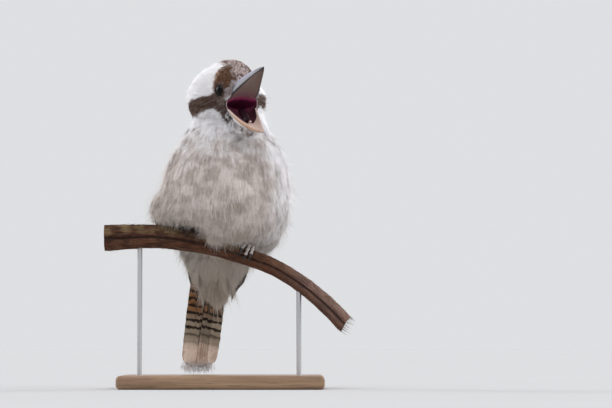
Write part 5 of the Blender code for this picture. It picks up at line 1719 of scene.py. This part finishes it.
def make_stalk(finish):
    """The cut stalk with fibrous ridges along it and a groove, which the material darkens as painted
    shade.
    """
    rows, columns = 420, 150
    across = np.linspace(STALK[0][0], STALK[-1][0], rows)
    height, radius, along, up = stalk_lines(across)
    turn = np.linspace(0, 2 * math.pi, columns, endpoint=False)
    u, v = np.broadcast_arrays(across[:, None], turn[None, :])
    draw = np.random.default_rng(8)
    ridges = np.zeros(u.shape)
    for count, size in RIDGES:
        drift = 0.9 * np.sin(u * draw.uniform(14, 40) + draw.uniform(0, 6))
        drift = drift + 0.5 * np.sin(u * draw.uniform(60, 120))
        ridges += size * np.sin(v * count + draw.uniform(0, 6) + drift)
    ridges = np.tanh(ridges)
    nodes = np.sin(u * 210 + np.sin(v * 3) * 1.5) * np.sin(u * 67 + 1.0)
    groove = np.exp(-(((v - GROOVE_TURNS[0]) / 0.17) ** 2))
    relief = 0.00042 * ridges + 0.00016 * nodes - 0.0010 * groove
    reach = radius[:, None] * stalk_section(v) - 0.00035 + relief
    out = np.cos(v)[..., None] * up[:, None, :] + np.sin(v)[..., None] * np.array([0, -1.0, 0])
    spine = np.stack([across, np.zeros(rows), height], axis=-1)
    points = spine[:, None, :] + reach[..., None] * out
    obj = tube_mesh("stalk_skin", placed(STALK_FRAME, points), finish)
    numbers = {
        "groove": groove,
        "ridge": ridges * 0.5 + 0.5,
        # Where the material paints light: the upper front of the right part
        "pale": ease(u, 0.045, 0.12) * np.clip(0.55 + 0.6 * np.cos(v - 0.6), 0, 1),
        "upper": ease(np.cos(v), -0.05, 0.5) * (1 - 0.75 * ease(u, -0.01, 0.05)),
    }
    for name, values in numbers.items():
        put(obj, name, np.r_[values.ravel(), 0.0, 0.0])
    way = np.broadcast_to(along[:, None, :], points.shape) + unit(out) * 0.10
    way = np.vstack([way.reshape(-1, 3), along[0], along[-1]])
    store = obj.data.attributes.new("way", "FLOAT_VECTOR", "POINT")
    store.data.foreach_set("vector", way.astype(np.float32).ravel())
    uv = np.stack([u * 8, v / (2 * math.pi)], axis=-1).reshape(-1, 2)
    put_uv(obj, "Fibre", np.vstack([uv, [[0, 0], [1, 0]]]))
    return obj


FIBRE_SIZES = (("Density", 60000.0), ("Length", 0.0100), ("Radius", 0.00020))
STALK_NUMBERS = ("way", "groove", "ridge", "pale", "upper")


def fibre_tree(finish):
    """A node tree that strews thin tapering fibres over a surface, each laid along its own way."""
    tree = bpy.data.node_groups.new("loose_fibres", "GeometryNodeTree")
    tree.interface.new_socket("Geometry", in_out="INPUT", socket_type="NodeSocketGeometry")
    for name, _ in FIBRE_SIZES:
        tree.interface.new_socket(name, in_out="INPUT", socket_type="NodeSocketFloat")
    tree.interface.new_socket("Geometry", in_out="OUTPUT", socket_type="NodeSocketGeometry")

    def node(kind, values=None, **settings):
        """A node with its settings set first, and the values or links of its sockets."""
        made = tree.nodes.new(kind)
        for setting, value in settings.items():
            setattr(made, setting, value)
        for key, value in (values or {}).items():
            if isinstance(value, bpy.types.NodeSocket):
                tree.links.new(value, made.inputs[key])
            else:
                made.inputs[key].default_value = value
        return made

    given = node("NodeGroupInput").outputs
    strewn = {"Mesh": given["Geometry"], "Density": given["Density"], "Seed": 4}
    roots = node("GeometryNodeDistributePointsOnFaces", strewn)
    taper = {"Vertices": 3, "Radius Top": 0.0, "Radius Bottom": given["Radius"], "Depth": given["Length"]}
    cone = node("GeometryNodeMeshCone", taper, fill_type="NONE")
    way = node("GeometryNodeInputNamedAttribute", {"Name": "way"}, data_type="FLOAT_VECTOR")
    limits = {0: (-0.10, -0.10, -0.10), 1: (0.10, 0.10, 0.10), "Seed": 5}
    stray = node("FunctionNodeRandomValue", limits, data_type="FLOAT_VECTOR")
    lie = node("ShaderNodeVectorMath", {0: way.outputs["Attribute"], 1: stray.outputs[0]})
    turn = node("FunctionNodeAlignRotationToVector", {"Vector": lie.outputs[0]}, axis="Z")
    size = node("FunctionNodeRandomValue", {2: 0.35, 3: 1.25, "Seed": 6}, data_type="FLOAT")
    laid = node("GeometryNodeInstanceOnPoints", {
        "Points": roots.outputs["Points"], "Instance": cone.outputs["Mesh"],
        "Rotation": turn.outputs[0], "Scale": size.outputs[1],
    })
    solid = node("GeometryNodeRealizeInstances", {"Geometry": laid.outputs["Instances"]})
    dressed = node("GeometryNodeSetMaterial", {"Geometry": solid.outputs["Geometry"], "Material": finish})
    node("NodeGroupOutput", {"Geometry": dressed.outputs["Geometry"]})
    return tree


def make_fibres(stalk, finish):
    """Loose fibres lifting off the stalk."""
    obj = bpy.data.objects.new("stalk_fibres", stalk.data.copy())
    bpy.context.scene.collection.objects.link(obj)
    tree = fibre_tree(finish)
    strew = obj.modifiers.new("strew", "NODES")
    strew.node_group = tree
    sockets = {item.name: item.identifier for item in tree.interface.items_tree if item.in_out == "INPUT"}
    for name, value in FIBRE_SIZES:
        strew[sockets[name]] = value
    settled(obj)
    for name in [layer.name for layer in obj.data.uv_layers]:
        obj.data.uv_layers.remove(obj.data.uv_layers[name])
    for name in STALK_NUMBERS:
        if name in obj.data.attributes:
            obj.data.attributes.remove(obj.data.attributes[name])
    obj.data.materials.clear()
    obj.data.materials.append(finish)
    return obj


def round_stalk(across, sideways, turn, stand_off):
    """A point off the stalk's surface. turn is the angle from its top towards the back."""
    along = stalk_lines(across)[2][0]
    up = np.array([-along[2], 0, along[0]])
    here = across + sideways * along[0]
    height, radius, _, _ = (v[0] for v in stalk_lines(here))
    reach = radius * stalk_section(np.array(-turn % (2 * math.pi))) + stand_off
    out = math.cos(turn) * up + math.sin(turn) * np.array([0, 1.0, 0])
    return np.array([here, 0, height]) + reach * out


def tube_rings(points, radii, sides, flat=1.0):
    """Round rings along points, each with its own radius."""
    points = [Vector(p) for p in points]
    ahead = (points[1] - points[0]).normalized()
    side = ahead.orthogonal().normalized()
    turns = [2 * math.pi * n / sides for n in range(sides)]
    rings = []
    for k, point in enumerate(points):
        before, after = points[max(k - 1, 0)], points[min(k + 1, len(points) - 1)]
        ahead = (after - before).normalized()
        side = (side - ahead * side.dot(ahead)).normalized()
        other = ahead.cross(side)
        radius = float(radii[k])
        rings.append([point + radius * (math.cos(t) * side + flat * math.sin(t) * other) for t in turns])
    return np.array(rings)


def tapered(name, points, radii, sides, finish, past, flat=1.0):
    """A closed tube along points of the stalk's frame, its end drawn out past the last one."""
    rings = placed(STALK_FRAME, tube_rings(points, radii, sides, flat))
    ends = placed(STALK_FRAME, [points[0], points[-1] + (points[-1] - points[-2]) * past])
    return tube_mesh(name, rings, finish, ends)


def make_toe(place, side, crest, row, finish):
    """One toe with its scutes and knuckles, closed round the stalk from the crest of the foot."""
    _, way, spread, length, begin = row
    sweep = length / (stalk_lines(place)[1][0] + TOE_RADIUS)
    points, radii = [], []
    for share in np.linspace(0, 1, 40):
        sideways = side * (begin + (spread - begin) * share)
        knuckle = 0.00035 * math.cos(share * 3 * 2 * math.pi)
        size = TOE_RADIUS * (1 - 0.22 * share) + knuckle
        turn = crest + way * (PALM_TURN + sweep * share)
        points.append(round_stalk(place, sideways, turn, size + 0.0008))
        scute = (share * 11) % 1
        radii.append(size + 0.00022 * (scute - 0.5))
    return tapered("toe", points, radii, 18, finish, 1.5)


def make_claw(name, place, side, crest, row, finish):
    """The claw at a toe's end, curved on round the stalk."""
    _, way, spread, length, _ = row
    round_it = stalk_lines(place)[1][0] + TOE_RADIUS
    points, radii = [], []
    for share in np.linspace(0, 1, 18):
        turn = crest + way * (PALM_TURN + length / round_it + (CLAW_LONG * share - CLAW_ROOT) / round_it)
        rise = 0.0024 + 0.0013 * math.sin(math.pi * share) - 0.0014 * share
        points.append(round_stalk(place, side * spread, turn, rise))
        radii.append(CLAW_RADIUS * (1 - 0.80 * share))
    return tapered(name, points, radii, 14, finish, 0.8, 1.15)


def make_feet(finishes):
    """Shanks, palms and toes with their scutes, and the claws."""
    feet = []
    for side, name in SIDES:
        across, crest = FOOT_PLACES[name]
        foot = round_stalk(across, 0, crest, TOE_RADIUS + 0.0016)
        top = foot + np.array([side * -0.004, 0.010, 0.022])
        shares = np.linspace(0, 1, 24)
        radii = 0.0026 + 0.0004 * (2 * shares - 1) ** 2 + 0.00012 * np.abs(np.sin(shares * 30))
        shank = tube_rings(foot + (top - foot) * shares[:, None], radii, 20)
        parts = [tube_mesh("shank", placed(STALK_FRAME, shank), finishes["foot"])]
        along = stalk_lines(across)[2][0]
        lean = (-crest, -math.atan2(along[2], along[0]), 0)
        rings, ends = ball_rings(round_stalk(across, 0, crest, 0.0036), PALM_HALF, lean, 16, 24)
        rings, ends = placed(STALK_FRAME, rings), placed(STALK_FRAME, ends)
        parts.append(tube_mesh("palm", rings, finishes["foot"], ends))
        claws = []
        for row in TOES:
            parts.append(make_toe(across, side, crest, row, finishes["foot"]))
            claw_name = f"claw_horn_{name}_{row[0]}"
            claws.append(make_claw(claw_name, across, side, crest, row, finishes["claw"]))
        feet.append((name, joined("foot_" + name, parts), claws))
    return feet


# Everything put together


def carry(obj, slot, *nodes):
    """Sets the piece on the body, in the place of its solids."""
    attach(obj, "root")
    if nodes:
        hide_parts(*nodes)


def make_stage():
    """A wide pale floor."""
    turn = np.linspace(0, 2 * math.pi, 96, endpoint=False)
    rings = [[(r * math.cos(t), r * math.sin(t), 0.0) for t in turn] for r in (0.01, 2.0, 8.0, 60.0)]
    floor = mesh_piece("studio_floor", rings, [grid_faces(4, 96, wrap=True)], studio_paper())


# Broad far lamps: name, direction each stands in, strength, colour
LAMPS = (
    ("key", (-0.45, -0.95, 1.96), 1.10, (1.0, 0.99, 0.98)),
    ("fill", (1.7, -0.7, 0.96), 0.85, (0.97, 0.98, 1.0)),
    ("rim_right", (-1.5, 0.75, 0.68), 1.5, (0.97, 0.97, 1.0)),
    ("rim_left", (1.4, 0.85, 0.86), 1.3, (0.97, 0.97, 1.0)),
)
LAMP_WIDTH = math.radians(32)
AIR = (0.965, 0.975, 1.0, 1)
AIR_STRENGTH = 0.76


def make_lights():
    """Pale air all round, and the lamps."""
    world = bpy.data.worlds.new("studio_air")
    world.use_nodes = True
    air = world.node_tree.nodes["Background"]
    air.inputs[0].default_value = AIR
    air.inputs[1].default_value = AIR_STRENGTH
    bpy.context.scene.world = world
    for name, way, power, colour in LAMPS:
        lamp = bpy.data.lights.new(name, "SUN")
        lamp.angle, lamp.energy, lamp.color = LAMP_WIDTH, power, colour
        obj = bpy.data.objects.new(name, lamp)
        obj.location = way
        obj.rotation_euler = Vector(way).to_track_quat("Z", "Y").to_euler()
        bpy.context.scene.collection.objects.link(obj)


def make_camera():
    """The photograph's view: level with the breast, a little from below, from far off."""
    camera = bpy.data.cameras.new("photo_view")
    camera.sensor_width = SENSOR
    camera.lens = SENSOR * VIEW_FAR / VIEW_WIDE
    camera.clip_end = 50
    obj = bpy.data.objects.new("photo_view", camera)
    across, deep, height = VIEW_AIM
    back, down = VIEW_FAR * math.cos(VIEW_PITCH), VIEW_FAR * math.sin(VIEW_PITCH)
    obj.location = (across, deep - back, height - down)
    obj.rotation_euler = (math.radians(90) + VIEW_PITCH, 0, 0)
    bpy.context.scene.collection.objects.link(obj)
    bpy.context.scene.camera = obj


def make_finishes():
    """The materials of the bird and the stalk by name."""
    primary = (0.040, 0.028, 0.023), (0.075, 0.055, 0.045), (0.13, 0.10, 0.085)
    covert = (0.060, 0.042, 0.033), (0.10, 0.075, 0.060), (0.20, 0.19, 0.18)
    tail = (0.39, 0.195, 0.085), (0.014, 0.010, 0.009), (0.98, 0.96, 0.96)
    lid = (0.010, 0.008, 0.008), (0.028, 0.020, 0.018)
    foot = (0.30, 0.26, 0.235), (0.46, 0.42, 0.40)
    claw = (0.012, 0.012, 0.016), (0.045, 0.042, 0.05)
    fibre = (0.08, 0.036, 0.022), (0.22, 0.13, 0.09)
    return {
        "plumage": plumage(),
        "primary": flight("flight_brown", *primary),
        "covert": flight("covert_blue", *covert, blue=0.75),
        "tail": flight("tail_barred", *tail, bars=74.0, grey=(0.38, 0.325, 0.255)),
        "bill_upper": horn_dark(),
        "bill_lower": horn_pale(),
        "mouth": moist_skin(),
        "tongue": tongue_skin(),
        "eye": eye_ball(),
        "lid": mixed_tones("lid_skin", *lid, 500.0, 0.6, 0.0001, shine=0.1),
        "foot": mixed_tones("foot_skin", *foot, 260.0, 0.55, 0.00015),
        "claw": mixed_tones("claw_horn", *claw, 220.0, 0.28, 0.00008, 0.3),
        "stalk": stalk_bark(),
        "fibre": mixed_tones("loose_fibre", *fibre, 90.0, 0.8, 0.0001),
    }


def dress_body(finishes):
    """The skin and the coat over it. Returns the tree of the skin before it was cut."""
    feathers = finishes["plumage"]
    skin, whole = make_skin()
    cut_skin(skin)
    unwrap(skin)
    skin.data.materials.append(feathers)
    count = len(skin.data.vertices)
    mark(skin, markings(points_of(skin)), *(np.full(count, value) for value in (0.15, 0.4, 0.3)))
    for coat in make_coat(skin, whole, feathers):
        carry(coat, "body_feathers" if "body" in coat.name else "head_feathers")
    carry(skin, "body_feathers", "head", "neck", "torso")
    return whole


def dress_wings_and_tail(finishes):
    for side, name in SIDES:
        flights, coverts, arm = make_wing(side, name, finishes)
        carry(flights, "wing_feathers", "wing_" + name)
        carry(coverts, "wing_feathers")
        carry(arm, "wing_feathers")
    tail = make_tail(finishes["tail"])
    carry(make_tail_fray(tail, finishes["plumage"]), "tail_feathers")
    carry(tail, "tail_feathers", "tail")


def dress_face(finishes):
    upper, lower = make_bills(finishes)
    carry(upper, "bill_upper", "bill_upper")
    carry(lower, "bill_lower", "bill_lower")
    carry(make_mouth(finishes["mouth"]), "mouth_skin", "mouth")
    carry(make_tongue(finishes["tongue"]), "tongue_skin", "tongue")
    for side, name in SIDES:
        gaze = Vector((side * GAZE[0], *GAZE[1:])).normalized()
        carry(make_ball(side, name, gaze, finishes["eye"]), "eye", "eye_" + name)
        carry(make_lid(side, name, gaze, finishes["lid"]), "head_feathers")


def dress_perch(finishes):
    for name, foot, claws in make_feet(finishes):
        carry(foot, "foot_skin", "leg_" + name)
        for claw in claws:
            carry(claw, "claw", claw.name.replace("claw_horn", "claw"))
    stalk = make_stalk(finishes["stalk"])
    carry(make_fibres(stalk, finishes["fibre"]), "stalk")
    carry(stalk, "stalk", "perch")


def dress_stand():
    """Better materials on the stand's own solids."""
    steel = brushed_rod()
    looks = (("stand_base", stained_wood()), ("stand_rod_left", steel), ("stand_rod_right", steel))
    for node, look in looks:
        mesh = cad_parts[node].data
        mesh.materials.clear()
        mesh.materials.append(look)


def main():
    bpy.context.scene.view_settings.view_transform = "Standard"
    make_camera()
    make_lights()
    make_stage()
    finishes = make_finishes()
    whole = dress_body(finishes)
    dress_wings_and_tail(finishes)
    carry(make_plumes(whole, finishes["plumage"]), "body_feathers")
    dress_face(finishes)
    dress_perch(finishes)
    dress_stand()


main()
